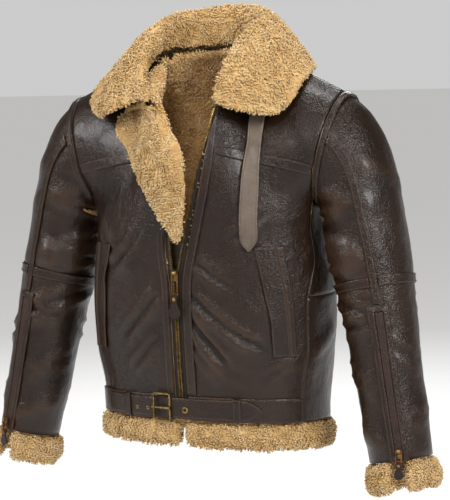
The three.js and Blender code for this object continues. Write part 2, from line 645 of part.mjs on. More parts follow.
for (const side of sides) {
  addStrip(`armhole_strip_${side}`, side, (angle, d) => sleevePoint(angle, capRow(angle, d)),
    (angle, d) => sleeveNormal(angle, Math.max(capRow(angle, d), 0.3)),
    grid([1.5, armStripWide], steps(16, -144, 144)), 'strip', stripThick, 0.8);
  addStrip(`sleeve_strip_${side}`, side, onSleeve, onSleeveNormal,
    grid(rowsBetween(capRow(sleeveSeams.front, armStripWide + 3), rowAtZ(zipTop + bindingWide + 3)), [-tapeHalf, 0, tapeHalf]), 'strip');
  addStrip(`elbow_strip_${side}`, side, (angle, d) => sleevePoint(angle, elbowRow + d / 23),
    (angle, d) => sleeveNormal(angle, elbowRow + d / 23),
    grid([-tapeHalf, 0, tapeHalf], [elbowStart, ...steps(18, 90, 414), 360 + 2 * sleeveSeams.front - elbowStart]),
    'strip', stripThick, 1.3);
  const zipRows = rowsBetween(rowAtZ(zipTop), lastSleeveRow);
  addStrip(`sleeve_zip_${side}`, side, onSleeve, onSleeveNormal, grid(zipRows, [-zipHalf, 0, zipHalf]), 'gusset', 1.2);
  const near = zipHalf + 0.6;
  const far = near + bindingWide;
  const topRows = [rowAtZ(zipTop + 1), rowAtZ(zipTop + 1 + bindingWide)];
  const arm = (way) => zipRows.map((row) => [[way * near, row], [way * far, row]]);
  const binding = [...arm(1).reverse(), [[near, topRows[0]], [far, topRows[1]]],
    [[0, topRows[0]], [0, topRows[1]]], [[-near, topRows[0]], [-far, topRows[1]]], ...arm(-1)];
  addStrip(`sleeve_binding_${side}`, side, onSleeve, onSleeveNormal, binding, 'strip', 2.2);
}

// Pockets: a slanting panel on each front and a welt along its outer edge
const pocket = { topZ: -284, lowZ: -472, top: [36.5, 53], low: [44.5, 58], weltShare: 0.74 };
for (const side of sides) {
  const sign = side === 'left' ? 1 : -1;
  const own = (p) => vec(sign * p.x, p.y, p.z);
  const place = (s, t) => [mix(mix(...pocket.top, s), mix(...pocket.low, s), t), mix(pocket.topZ, pocket.lowZ, t)];
  const surface = (s, t) => { const [angle, z] = place(s, t); return own(body(sign * angle, z)); };
  const normal = (s, t) => { const [angle, z] = place(s, t); return own(bodyNormal(sign * angle, z)); };
  const cells = grid(steps(10), [0, 0.25, 0.5, pocket.weltShare - 0.02, pocket.weltShare, 1]);
  const rows = (base, welt) => cells.map((row) => row.map(([s, t]) => (
    surface(s, t).addScaledVector(normal(s, t), s < pocket.weltShare ? base : welt))));
  add(`pocket_${side}`, shell(toSide(side, rows(4, 5.4)), toSide(side, rows(1.8, 1.8))), 'strip');
}

// Belt: a band on each front, a pointed strap, a tail with eyelets, two keepers and a buckle
const band = { from: hemZ + 0.5, to: beltTopZ };
const bandAt = (angle, t) => body(angle, mix(band.from, band.to, t));
const bandNormal = (angle, t) => bodyNormal(angle, mix(band.from, band.to, t));
const angleOf = (x) => angleAtX(x, (band.from + band.to) / 2);
const bandEdge = tapeWide + 1.4;
const strapTop = lie + beltThick + lie;   // underside of what lies on the band
const strapThick = 3;
const strap = { from: -26, tip: 134, low: 0.08, high: 0.92 };
const tail = { from: -150, to: -52, low: 0.1, high: 0.9 };
addStrip('belt_band_left', 'left', bandAt, bandNormal, grid([0, 0.5, 1], steps(12, angleOf(bandEdge), 64.5)), 'strip', beltThick);
addStrip('belt_band_right', 'left', bandAt, bandNormal, grid([0, 0.5, 1], steps(12, -64.5, -angleOf(bandEdge))), 'strip', beltThick);
{
  const surface = (x, t) => bandAt(angleOf(x), t);
  const normal = (x, t) => bandNormal(angleOf(x), t);
  const point = 20;                       // length of the strap's pointed end
  const width = (x, t) => mix(0.5, t, clamp((strap.tip + 1 - x) / point, 0, 1));
  addStrip('belt_strap', 'left', (x, t) => surface(x, width(x, t)), (x, t) => normal(x, width(x, t)),
    grid([strap.low, 0.5, strap.high], [...steps(9, strap.from, strap.tip - point), strap.tip - 9, strap.tip]),
    'strip', strapThick, strapTop);
  addStrip('belt_tail', 'left', surface, normal,
    grid([tail.low, 0.5, tail.high], steps(7, tail.from, tail.to)), 'strip', strapThick, strapTop);
  const keeperHalf = 6;
  const keeperRise = strapTop + strapThick + lie;
  for (const [name, x] of [['left', 96], ['right', -104]]) {
    const lift = (t) => (t < 0.02 || t > 0.98 ? strapTop : keeperRise);
    const cells = grid([0, 0.04, 0.5, 0.96, 1], [x - keeperHalf, x + keeperHalf]);
    const raised = (height) => cells.map((row) => row.map(([u, t]) => (
      surface(u, t).addScaledVector(normal(u, t), lift(t) + height))));
    add(`belt_keeper_${name}`, shell(raised(2), raised(0)), 'strip');
  }
}

// Frame to place a small hard piece: origin on a surface, out from it, down along it
function placeOn(mesh, origin, out, down) {
  const zAxis = down.clone().negate().normalize();
  const yAxis = out.clone().negate();
  yAxis.addScaledVector(zAxis, -yAxis.dot(zAxis)).normalize();
  const xAxis = yAxis.clone().cross(zAxis);
  mesh.quaternion.setFromRotationMatrix(new THREE.Matrix4().makeBasis(xAxis, yAxis, zAxis));
  mesh.position.copy(origin);
}
// Flat piece: an outline in x and z, given a thickness along y, front face at -y
function plate(shape, thickness, depth) {
  const geometry = new THREE.ExtrudeGeometry(shape, { depth: thickness, bevelEnabled: false, curveSegments: 6 });
  geometry.rotateX(Math.PI / 2);
  geometry.translate(0, depth, 0);
  geometry.deleteAttribute('normal');
  geometry.deleteAttribute('uv');
  const merged = mergeVertices(geometry, 1e-3);
  merged.computeVertexNormals();
  return merged;
}

const buckle = { x: -33, wide: 34, high: 49, bar: 2.8 };
{
  const half = { x: buckle.wide / 2, z: buckle.high / 2 };
  const frame = new THREE.Shape();
  const corner = 5;
  const rounded = (path, hx, hz, r) => {
    path.moveTo(-hx + r, -hz);
    path.lineTo(hx - r, -hz).absarc(hx - r, -hz + r, r, -Math.PI / 2, 0);
    path.lineTo(hx, hz - r).absarc(hx - r, hz - r, r, 0, Math.PI / 2);
    path.lineTo(-hx + r, hz).absarc(-hx + r, hz - r, r, Math.PI / 2, Math.PI);
    path.lineTo(-hx, -hz + r).absarc(-hx + r, -hz + r, r, Math.PI, Math.PI * 1.5);
    return path;
  };
  rounded(frame, half.x, half.z, corner);
  frame.holes.push(rounded(new THREE.Path(), half.x - buckle.bar, half.z - buckle.bar, corner - 2.5));
  const angle = angleOf(buckle.x);
  const centre = bandAt(angle, 0.5);
  const out = bandNormal(angle, 0.5);
  const rise = strapTop + strapThick + 0.5;
  const frameMesh = add('buckle_frame', plate(frame, buckle.bar, 0), 'brass');
  placeOn(frameMesh, centre.clone().addScaledVector(out, rise), out, vec(0, 0, -1));
  const prong = new THREE.Shape();
  const prongHalf = 1.7;
  prong.moveTo(-half.x - 1, -prongHalf * 0.6).lineTo(half.x, -prongHalf).lineTo(half.x, prongHalf)
    .lineTo(-half.x - 1, prongHalf * 0.6);
  const prongMesh = add('buckle_prong', plate(prong, 2.6, 0), 'brass');
  placeOn(prongMesh, centre.clone().addScaledVector(out, rise + buckle.bar + lie), out, vec(0, 0, -1));
}


// Point of the outer surface of a front at own-side distance x and height z
function onFront(side, x, z) {
  let [u, v] = [clamp((x - 10) / 215, 0, 1), z < chestZ ? (z - hemZ) / (chestZ - hemZ) : 1 + (z - chestZ) / 240];
  for (let i = 0; i < 12; i++) {
    const here = front[side](u, v);
    const across = front[side](u + 0.01, v).sub(here).multiplyScalar(100);
    const up = front[side](u, v + 0.01).sub(here).multiplyScalar(100);
    const size = across.x * up.z - across.z * up.x;
    const [dx, dz] = [x - here.x, z - here.z];
    u = clamp(u + clamp((dx * up.z - dz * up.x) / size, -0.2, 0.2), -0.25, 1);
    v = clamp(v + clamp((dz * across.x - dx * across.z) / size, -0.2, 0.2), 0, 1.999);
  }
  return { point: front[side](u, v), normal: frontNormal[side](clamp(u, 0.01, 0.98), Math.min(v, 1.97)) };
}

// Strap that would hold the collar up, fastened along the wearer's left front
{
  const throat = { topX: 124, topZ: -72, lowX: 124, lowZ: -290, half: 13, point: 16 };
  const cells = [...steps(14, throat.topZ, throat.lowZ + throat.point), throat.lowZ + 6, throat.lowZ];
  const rows = (height) => cells.map((z) => [-1, 0, 1].map((side) => {
    const half = throat.half * Math.min(1, 0.12 + (z - throat.lowZ) / throat.point * 0.88);
    const x = mix(throat.lowX, throat.topX, (z - throat.lowZ) / (throat.topZ - throat.lowZ)) + side * half;
    const at = onFront('left', x, z);
    return at.point.addScaledVector(at.normal, height);
  }));
  add('collar_strap', shell(rows(6.6), rows(3.6)), 'strap');
}

// Points of the body and sleeve surfaces, to keep the collar and the lapel clear of them
const cloud = [];
for (const side of sides) {
  for (const v of steps(44, 1, 2)) {
    for (const u of steps(44)) {
      const normal = frontNormal[side](clamp(u, 0.01, 0.98), Math.min(v, 1.97));
      cloud.push({ side, p: toSide(side, [[front[side](u, v)]])[0][0], n: toSide(side, [[normal]])[0][0] });
    }
  }
  for (const row of steps(10, 0, 3)) {
    for (const angle of steps(24, -90, 90)) {
      const normal = sleeveNormal(angle, Math.max(row, 0.3));
      cloud.push({ side, p: toSide(side, [[sleevePoint(angle, row)]])[0][0], n: toSide(side, [[normal]])[0][0] });
    }
  }
}
for (const v of steps(44, 1, 2)) {
  for (const u of steps(88)) cloud.push({ p: back(u, v), n: backNormal(clamp(u, 0.01, 0.99), Math.min(v, 1.97)) });
}

// Moves a point out until it stands clear of the nearest surface point
function clearOf(point, clearance) {
  const p = point.clone();
  for (let i = 0; i < 3; i++) {
    let best = cloud[0];
    let least = Infinity;
    for (const c of cloud) {
      const d = c.p.distanceToSquared(p);
      if (d < least) { least = d; best = c; }
    }
    const height = p.clone().sub(best.p).dot(best.n);
    if (height < clearance && least < 900) p.addScaledVector(best.n, clearance - height);
  }
  return p;
}

// Collar: base at the neckline, crest and outer edge, from the back to the front on each side
const collarBack = [
  { base: [0, 84, 37], crest: [0, 104, 118], edge: [0, 150, -25] },
  { base: [75, 45, 33], crest: [72, 62, 106], edge: [146, 104, -14] },
  { base: [90, 8, 27], crest: [86, 25, 94], edge: [180, 42, -2] },
];
const collarFront = {
  left: [
    { base: [89, -15, 23], crest: [86, -5, 80], edge: [190, -15, -24] },
    { base: [84, -45, 10], crest: [80, -42, 58], edge: [186, -66, -56] },
    { base: [76, -75, -10], crest: [76, -78, 32], edge: [164, -108, -78] },
    { base: [68, -100, -32], crest: [67, -105, -2], edge: [122, -132, -68] },
    { base: [66, -112, -44], crest: [62, -122, -36], edge: [84, -134, -62] },
  ],
  right: [
    { base: [89, -15, 23], crest: [88, -5, 82], edge: [204, -18, -30] },
    { base: [84, -45, 10], crest: [83, -42, 60], edge: [196, -66, -60] },
    { base: [74, -78, -12], crest: [74, -84, 28], edge: [160, -112, -76] },
    { base: [58, -104, -34], crest: [54, -114, -18], edge: [124, -134, -64] },
    { base: [48, -116, -44], crest: [45, -126, -38], edge: [104, -136, -60] },
  ],
};
const collarHalf = furThick / 2;
const collarFoot = 4;                     // how far its base stands above the neckline
{
  const turned = (rows, flip) => rows.map((row) => Object.fromEntries(
    Object.entries(row).map(([key, [x, y, z]]) => [key, vec(flip ? -x : x, y, z)])));
  const ends = [...turned([...collarBack, ...collarFront.left].slice(1).reverse(), false),
    ...turned([...collarBack, ...collarFront.right], true)];
  const along = Object.fromEntries(['base', 'crest', 'edge'].map((key) => [key, spline(ends.map((row) => row[key]))]));
  const sections = steps(34).map((t) => {
    const [base, crest, edge] = [along.base(t), along.crest(t), along.edge(t)];
    const side = crest.clone().sub(base).cross(edge.clone().sub(base)).normalize();
    const away = edge.clone().sub(base).setZ(0).normalize();
    const foot = base.clone().addScaledVector(vec(0, 0, 1), collarFoot);
    const line = spline([foot, between(foot, crest, 0.6), crest, between(crest, edge, 0.32).addScaledVector(away, 9), edge]);
    const thin = 1 - 0.35 * Math.abs(2 * t - 1) ** 6;
    const stations = [0, 0.2, 0.4, 0.55, 0.7, 0.85, 1];
    const lines = [1, -1].map((way) => stations.map((q) => {
      const tangent = line(Math.min(q + 0.01, 1)).sub(line(Math.max(q - 0.01, 0))).normalize();
      const half = collarHalf * thin * (q === 1 ? 0.55 : q === 0 ? 0.6 : 1);
      return line(q).addScaledVector(tangent.cross(side), way * half);
    }));
    return [...lines[0], ...lines[1].reverse()].map((p, i) => {
      const low = i > 3 && i < 10;
      return clearOf(p, low ? 7.5 : 0.7);
    });
  });
  add('collar', loft(sections), 'fur');
}

// Lapel: the top of the wearer's right front, turned back with the fleece outwards
{
  const roll = spline([vec(20, 0, -277), vec(27, 0, -244), vec(33, 0, -191), vec(18, 0, -119), vec(0, 0, -76), vec(-22, 0, -46)]);
  const outer = spline([vec(8, 0, -274), vec(-24, 0, -232), vec(-66, 0, -174), vec(-104, 0, -134), vec(-136, 0, -98),
    vec(-130, 0, -70)]);
  const profile = [0.3, 0.8, 1, 1, 1, 0.9, 0.4];
  const thick = 12;
  const sections = steps(20).map((t) => {
    const [r, o] = [roll(t), outer(t)];
    const at = profile.map((_, i) => {
      const p = between(r, o, i / (profile.length - 1));
      return onFront('right', -p.x, p.z);
    });
    const under = at.map(({ point, normal }) => mirrored(point.clone().addScaledVector(normal, 8.5)));
    const top = at.map(({ point, normal }, i) => mirrored(point.clone().addScaledVector(normal, 8.5 + thick * profile[i])));
    return [...under, ...top.reverse()];
  });
  add('lapel', loft(sections), 'fur');
}

// Fleece that shows below the leather: outline as distance out from the leather and down from its edge
const hemOutline = [[-17, -0.3], [-3, -0.3], [4, -4], [10, -13], [12, -29], [6, -45], [-6, -51], [-17, -44], [-22, -25], [-21, -8]];
{
  const sections = steps(34, 0.7, 359.3).map((angle) => {
    const edge = body(angle, hemZ);
    const out = edge.clone().setZ(0).normalize();
    return hemOutline.map(([away, down]) => edge.clone().addScaledVector(out, away).add(vec(0, 0, down)));
  });
  add('hem_fleece', loft(sections), 'fur');
}
const cuffOutline = [[-15, -1.9], [-1, -1.9], [7, -6], [13, -20], [12, -38], [3, -52], [-9, -53], [-16, -40], [-18, -18]];
const cuffGap = 11;                       // half the opening at the sleeve zip, in degrees
for (const side of sides) {
  const sections = steps(20, sleeveSeams.front + cuffGap, sleeveSeams.front + 360 - cuffGap).map((start) => (
    cuffOutline.map(([away, down]) => {
      const angle = start - down * 0.16;
      const edge = sleeveRing(angle, cuffZ);
      const out = edge.clone().sub(sleeveCentre(edge)).setZ(0).normalize();
      return edge.addScaledVector(out, away).add(vec(-down * 0.16, down * 0.11, down));
    })));
  add(`cuff_fleece_${side}`, loft(sections.map((section) => toSide(side, [section])[0])), 'fur');
}

// Sliders and the pulls that hang from them
const axleOut = 6.4;                      // axle above the underside of a slider
const axleUp = 5;
function sliderGeometry(wide, long) {
  const side = new THREE.Shape();
  side.moveTo(0, -long / 2);
  side.lineTo(3.4, -long / 2 + 1).lineTo(3.6, axleUp - 6).lineTo(axleOut, axleUp - 3.3);
  side.absarc(axleOut, axleUp, 3.3, -Math.PI / 2, Math.PI / 2);
  side.lineTo(3.4, long / 2).lineTo(0, long / 2);
  const hole = new THREE.Path();
  hole.absarc(axleOut, axleUp, 1.8, 0, Math.PI * 2);
  side.holes.push(hole);
  const geometry = plate(side, wide, 0);  // outline in x and z, thickness along y
  geometry.translate(0, wide / 2, 0);
  geometry.rotateZ(-Math.PI / 2);
  return geometry;
}
const pulls = {
  front: { wide: 7, long: 20, link: 46, tab: 40, tabTop: 5, tabRound: 11 },
  cuff: { wide: 5.6, long: 16, link: 27, tab: 28, tabTop: 4, tabRound: 7.5 },
};
function addPull(prefix, origin, out, down, size) {
  const slider = add(`${prefix}_slider`, sliderGeometry(size.wide, size.long), 'brass');
  placeOn(slider, origin, out, down);
  slider.updateMatrixWorld(true);
  const axle = vec(0, -axleOut, axleUp).applyMatrix4(slider.matrixWorld);
  const half = size.wide / 2 + 2.6;
  const link = new THREE.Shape();
  link.moveTo(-half, 1).lineTo(-half, 3 - size.link).lineTo(-half + 2, 1 - size.link)
    .lineTo(half - 2, 1 - size.link).lineTo(half, 3 - size.link).lineTo(half, 1);
  const hole = new THREE.Path();
  const inner = size.wide / 2 + 0.7;
  hole.moveTo(-inner, -1).lineTo(inner, -1).lineTo(inner, 12 - size.link).lineTo(-inner, 12 - size.link);
  link.holes.push(hole);
  const linkMesh = add(`${prefix}_pull`, plate(link, 2, 1), 'brass');
  placeOn(linkMesh, axle, vec(out.x, out.y, 0), vec(0, 0, -1));
  const tab = new THREE.Shape();
  const top = 9 - size.link;
  const low = top - size.tab + size.tabRound;
  tab.moveTo(-size.tabTop, top);
  tab.lineTo(-size.tabTop, low + size.tabRound * 1.25);
  tab.absarc(0, low, size.tabRound, Math.PI * 0.82, Math.PI * 2.18);
  tab.lineTo(size.tabTop, low + size.tabRound * 1.25).lineTo(size.tabTop, top);
  const tabMesh = add(`${prefix}_pull_tab`, plate(tab, 3, -1.3), 'strip');
  placeOn(tabMesh, axle, vec(out.x, out.y, 0), vec(0, 0, -1));
}
{
  const z = sliderZ + 4;
  const out = bodyNormal(0, z);
  addPull('zip', body(0.3, z).addScaledVector(out, -1.4), out, vec(0, 0, -1), pulls.front);
  const row = lastSleeveRow - 0.22;
  for (const side of sides) {
    const [at, normal, below] = toSide(side, [[onSleeve(0, row), onSleeveNormal(0, row), onSleeve(0, row + 0.2)]])[0];
    addPull(`cuff_${side}`, at.clone().addScaledVector(normal, 3.2), normal, below.sub(at), pulls.cuff);
  }
}

export default jacket;
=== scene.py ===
import math, random
import bpy, bmesh
import numpy as np
from mathutils import Vector, Matrix, noise
from mathutils.bvhtree import BVHTree
from mathutils.kdtree import KDTree


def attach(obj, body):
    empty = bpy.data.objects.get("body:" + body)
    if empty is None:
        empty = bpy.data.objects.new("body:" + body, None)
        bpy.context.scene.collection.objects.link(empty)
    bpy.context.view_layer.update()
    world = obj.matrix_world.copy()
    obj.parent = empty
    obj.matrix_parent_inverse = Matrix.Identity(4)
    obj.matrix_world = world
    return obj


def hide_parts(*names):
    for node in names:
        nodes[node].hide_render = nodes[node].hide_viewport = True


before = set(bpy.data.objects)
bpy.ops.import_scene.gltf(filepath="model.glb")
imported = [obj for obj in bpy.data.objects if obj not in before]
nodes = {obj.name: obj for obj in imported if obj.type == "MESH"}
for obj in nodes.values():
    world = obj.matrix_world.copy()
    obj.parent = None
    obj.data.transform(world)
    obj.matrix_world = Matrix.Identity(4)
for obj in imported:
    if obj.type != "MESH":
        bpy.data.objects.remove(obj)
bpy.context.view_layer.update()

sides = ("left", "right")
mm = 0.001
bpy.ops.object.select_all(action="DESELECT")


def addObject(name, data):
    obj = bpy.data.objects.new(name, data)
    bpy.context.scene.collection.objects.link(obj)
    return obj


# Camera of the photograph: degrees, metres, focal length in pixels of a picture 500 high
cameraSet = {"azimuth": 26.0, "distance": 2.8, "height": 0.02, "pitch": 6.65, "yaw": -0.385,
             "roll": 1.64, "focal": 1638, "pixels": 500, "sensor": 36}


def makeCamera(values):
    turn = math.radians(values["azimuth"])
    towards = Vector((math.sin(turn), -math.cos(turn), 0))
    place = towards * values["distance"] + Vector((0, 0, values["height"]))
    heading = math.radians(values["azimuth"] + values["yaw"])
    ahead = Vector((-math.sin(heading), math.cos(heading), 0))
    pitch = math.radians(values["pitch"])
    look = ahead * math.cos(pitch) - Vector((0, 0, math.sin(pitch)))
    right = look.cross(Vector((0, 0, 1))).normalized()
    up = right.cross(look)
    turned = Matrix((right, up, -look)).transposed().to_4x4()
    data = bpy.data.cameras.new("camera")
    data.sensor_width = values["sensor"]
    data.lens = values["focal"] / values["pixels"] * values["sensor"]
    camera = addObject("camera", data)
    roll = Matrix.Rotation(-math.radians(values["roll"]), 4, "Z")
    camera.matrix_world = Matrix.Translation(place) @ turned @ roll
    bpy.context.scene.camera = camera


makeCamera(cameraSet)

lightSet = {
    "key": {"place": (-2.0, -1.9, 1.5), "size": 0.9, "power": 58},
    "fill": {"place": (2.3, -1.2, 0.9), "size": 0.75, "power": 52},
    "front": {"place": (0.6, -2.5, 1.5), "size": 0.8, "power": 27},
    "top": {"place": (0.1, 0.5, 2.4), "size": 0.9, "power": 36},
    "back": {"place": (-0.9, 2.4, 1.0), "size": 1.2, "power": 44},
}
lightAim = Vector((0, 0, -0.3))
# Colours of the world by its height, from 0 to 1
worldSet = [
    {"height": 0.05, "colour": (0.6, 0.6, 0.6, 1)},
    {"height": 0.14, "colour": (0.15, 0.142, 0.13, 1)},
]


def makeLights(lights, aim):
    for name, light in lights.items():
        data = bpy.data.lights.new(name, "AREA")
        data.size = light["size"]
        data.energy = light["power"]
        lamp = addObject(name, data)
        lamp.location = light["place"]
        lamp.rotation_euler = (aim - lamp.location).to_track_quat("-Z", "Y").to_euler()


def makeWorld(stops):
    world = bpy.data.worlds.new("studio")
    world.use_nodes = True
    tree = world.node_tree
    place = tree.nodes.new("ShaderNodeTexCoord")
    height = tree.nodes.new("ShaderNodeSeparateXYZ")
    fade = tree.nodes.new("ShaderNodeValToRGB")
    for element, stop in zip(fade.color_ramp.elements, stops):
        element.position, element.color = stop["height"], stop["colour"]
    tree.links.new(place.outputs["Generated"], height.inputs[0])
    tree.links.new(height.outputs["Z"], fade.inputs[0])
    tree.links.new(fade.outputs[0], tree.nodes["Background"].inputs[0])
    bpy.context.scene.world = world
    bpy.context.scene.view_settings.view_transform = "Standard"


makeLights(lightSet, lightAim)
makeWorld(worldSet)
print("camera and light made")


# A socket of a shader that can be added to, multiplied and raised
class Sock:
    def __init__(self, tree, link):
        self.tree, self.link = tree, link

    def math(self, operation, other, flip=False):
        values = [other, self] if flip else [self, other]
        return self.tree.node("ShaderNodeMath", {"operation": operation}, values)

    def __add__(self, other):
        return self.math("ADD", other)

    def __radd__(self, other):
        return self.math("ADD", other, True)

    def __sub__(self, other):
        return self.math("SUBTRACT", other)

    def __mul__(self, other):
        return self.math("MULTIPLY", other)

    def __rmul__(self, other):
        return self.math("MULTIPLY", other, True)


class Shader:
    def __init__(self, name):
        self.material = bpy.data.materials.new(name)
        self.material.use_nodes = True
        self.tree = self.material.node_tree
        self.surface = self.tree.nodes["Principled BSDF"]

    def node(self, kind, settings=None, values=(), out=0):
        made = self.tree.nodes.new(kind)
        for key, value in (settings or {}).items():
            if key == "stops":
                ramp = made.color_ramp
                while len(ramp.elements) < len(value):
                    ramp.elements.new(0.5)
                for element, (place, colour) in zip(ramp.elements, value):
                    element.position, element.color = place, (*colour, 1)
            else:
                setattr(made, key, value)
        pairs = values.items() if isinstance(values, dict) else enumerate(values)
        for key, value in pairs:
            if isinstance(value, Sock):
                self.tree.links.new(value.link, made.inputs[key])
            else:
                made.inputs[key].default_value = value
        return Sock(self, made.outputs[out])

    def feed(self, **values):
        for key, value in values.items():
            socket = self.surface.inputs[key.replace("_", " ")]
            if isinstance(value, Sock):
                self.tree.links.new(value.link, socket)
            else:
                socket.default_value = value

    def place(self):
        return self.node("ShaderNodeTexCoord", out=3)

    def attribute(self, name):
        return self.node("ShaderNodeAttribute", {"attribute_name": name}, out=2)

    def noise(self, scale, detail=3, rough=0.5):
        values = {"Vector": self.place(), "Scale": scale, "Detail": detail, "Roughness": rough}
        return self.node("ShaderNodeTexNoise", None, values)

    def cells(self, scale, feature):
        values = {"Vector": self.place(), "Scale": scale}
        return self.node("ShaderNodeTexVoronoi", {"feature": feature}, values)

    def ramp(self, value, stops):
        return self.node("ShaderNodeValToRGB", {"stops": stops}, [value])

    def mix(self, factor, first, second):
        values = {0: factor, 6: first, 7: second}
        return self.node("ShaderNodeMix", {"data_type": "RGBA"}, values, 2)

    def bump(self, height, strength, distance):
        values = {"Strength": strength, "Distance": distance, "Height": height}
        return self.node("ShaderNodeBump", None, values)


# Linear red, green and blue of a screen colour, by the usual screen curve
def rgb(code):
    parts = [int(code[i:i + 2], 16) / 255 for i in (0, 2, 4)]
    return tuple(c / 12.92 if c <= 0.04045 else ((c + 0.055) / 1.055) ** 2.4 for c in parts)


# Scales of the noise, shares of wear and of seam dirt with painted shade in the fold hollows, and
# heights that the grain is made of
leatherSet = {"patches": 9, "fine": 55, "creases": 230, "swells": 75, "rub": 0.08, "rubFine": 0.42,
              "dirtAndShade": 0.8, "pebbleHigh": 0.7, "creaseHigh": 0.9, "swellHigh": 1.8, "relief": 0.6,
              "depth": 0.0016}


# Leather: mottled colour, pebbled grain, paler where edges rub, darker with dirt in the seams and with
# painted shade in the hollows of the folds
def leather(name, dark, light, worn, gloss=0.25, grain=560):
    own = leatherSet
    shader = Shader(name)
    patches = shader.noise(own["patches"], 4, 0.6)
    fine = shader.noise(own["fine"], 3)
    rub = shader.attribute("rub")
    seamDark = shader.attribute("seamDark")
    base = shader.ramp(patches * 0.75 + fine * 0.25, [(0.32, rgb(dark)), (0.68, rgb(light))])
    base = shader.mix(rub * (own["rub"] + own["rubFine"] * fine), base, (*rgb(worn), 1))
    # Darker with dirt at the seams and with painted shade in the hollows of the folds
    base = shader.mix(seamDark * own["dirtAndShade"], base, (*rgb("070403"), 1))
    pebbles = shader.cells(grain, "SMOOTH_F1")
    creases = shader.noise(own["creases"], 3, 0.65)
    height = pebbles * own["pebbleHigh"] + creases * own["creaseHigh"]
    height = height + shader.noise(own["swells"], 3) * own["swellHigh"]
    shader.feed(Base_Color=base, Roughness=gloss + fine * 0.12 + rub * 0.08,
                Normal=shader.bump(height, own["relief"], own["depth"]),
                Coat_Weight=0.1, Coat_Roughness=0.16, Specular_IOR_Level=0.34)
    return shader.material


# Curly fleece: brown at the root as painted shade down between the locks, honey along the hair, pale at
# the tips, in uneven patches
def fleece(name, root, middle, tip):
    shader = Shader(name)
    patches = shader.noise(15, 4, 0.6)
    curls = shader.noise(150, 3, 0.6)
    shade = shader.attribute("reach") * 0.6 + patches * 0.55 + curls * 0.2 - 0.2
    base = shader.ramp(shade, [(0.1, rgb(root)), (0.42, rgb(middle)), (0.86, rgb(tip))])
    shader.feed(Base_Color=base, Roughness=0.85,
                Normal=shader.bump(curls + shader.noise(420, 2), 0.5, 0.002),
                Sheen_Weight=0.35, Sheen_Roughness=0.45, Specular_IOR_Level=0.2)
    shader.surface.inputs["Sheen Tint"].default_value = (1, 0.85, 0.6, 1)
    return shader.material


# Stained metal, rougher and brighter where the stain is thin
metalSet = {
    "brass": {"name": "agedBrass", "dark": "5c4727", "bright": "a78a54", "brightAt": 0.6,
              "stains": 160, "rough": 0.28, "spread": 0.25, "relief": 0.12, "depth": 0.0005},
    "copper": {"name": "brownCopper", "dark": "4a2a1b", "bright": "9a6b4a", "brightAt": 0.62,
               "stains": 190, "rough": 0.3, "spread": 0.2, "relief": 0.1, "depth": 0.0004},
}


def metal(values):
    shader = Shader(values["name"])
    stain = shader.noise(values["stains"], 4, 0.65)
    stops = [(0.35, rgb(values["dark"])), (values["brightAt"], rgb(values["bright"]))]
    shader.feed(Base_Color=shader.ramp(stain, stops), Metallic=1.0,
                Roughness=values["rough"] + stain * values["spread"],
                Normal=shader.bump(stain, values["relief"], values["depth"]))
    return shader.material


def webbing(name):
    shader = Shader(name)
    weave = shader.node("ShaderNodeTexWave", {"wave_type": "BANDS", "bands_direction": "Z"},
                        {"Vector": shader.place(), "Scale": 420.0, "Distortion": 1.5})
    base = shader.ramp(weave * 0.6 + shader.noise(60) * 0.4,
                       [(0.2, rgb("15100d")), (0.8, rgb("33271f"))])
    shader.feed(Base_Color=base, Roughness=0.85, Normal=shader.bump(weave, 0.5, 0.0006))
    return shader.material


def thread(name):
    shader = Shader(name)
    base = shader.ramp(shader.noise(500), [(0.3, rgb("33271d")), (0.7, rgb("584636"))])
    shader.feed(Base_Color=base, Roughness=0.7)
    return shader.material


finishes = {
    "leather": leather("darkLeather", dark="150b05", light="2a190d", worn="5e422b"),
    "strip": leather("stripLeather", dark="160c06", light="2c1a0f", worn="6b4c34", gloss=0.24),
    "strap": leather("strapLeather", dark="4f4236", light="75675a", worn="a3937f", gloss=0.42,
                     grain=640),
    "gusset": leather("gussetLeather", dark="1c0f0a", light="341d14", worn="553526", gloss=0.45,
                      grain=700),
    "fleece": fleece("fleece", root="98713c", middle="cda870", tip="ecd7ac"),
    # The lining fleece is a paler copy of the collar fleece: painted light that lifts it out of the
    # shade inside the jacket
    "lining": fleece("liningFleecePaintedLight", root="94662f", middle="e6bf80", tip="fff0cc"),
    "tape": webbing("zipTape"),
    "brass": metal(metalSet["brass"]),
    "copper": metal(metalSet["copper"]),
    "thread": thread("sewingThread"),
}
print("finishes made")


def activate(obj):
    bpy.ops.object.select_all(action="DESELECT")
    obj.select_set(True)
    bpy.context.view_layer.objects.active = obj


def applyModifier(obj, kind, **settings):
    activate(obj)
    modifier = obj.modifiers.new(kind.lower(), kind)
    for key, value in settings.items():
        setattr(modifier, key, value)
    bpy.ops.object.modifier_apply(modifier=modifier.name)

# How near points are joined, in metres, and the angles in degrees that make quads and sharp edges
joinSet = {"merge": 0.00004, "faces": 50, "shape": 80, "sharp": 42}


# A mesh with its points joined and its triangles made into quads
def quadMesh(data):
    mesh = bmesh.new()
    mesh.from_mesh(data)
    bmesh.ops.remove_doubles(mesh, verts=mesh.verts, dist=joinSet["merge"])
    bmesh.ops.join_triangles(mesh, faces=mesh.faces,
                             angle_face_threshold=math.radians(joinSet["faces"]),
                             angle_shape_threshold=math.radians(joinSet["shape"]))
    return mesh


def isSharp(edge):
    return len(edge.link_faces) == 2 and edge.calc_face_angle(0) > math.radians(joinSet["sharp"])


# Copy of a node in quads, with its sharp edges creased; gives the copy and the edges' end points
def copyNode(node, name, crease):
    obj = addObject(name, nodes[node].data.copy())
    obj.data.materials.clear()
    for key in list(obj.keys()):
        del obj[key]
    mesh = quadMesh(obj.data)
    layer = (mesh.edges.layers.float.get("crease_edge")
             or mesh.edges.layers.float.new("crease_edge"))
    sharp = []
    for edge in mesh.edges:
        if isSharp(edge):
            edge[layer] = crease
            sharp.append([edge.verts[0].co.copy(), edge.verts[1].co.copy()])
    mesh.to_mesh(obj.data)
    mesh.free()
    return obj, sharp


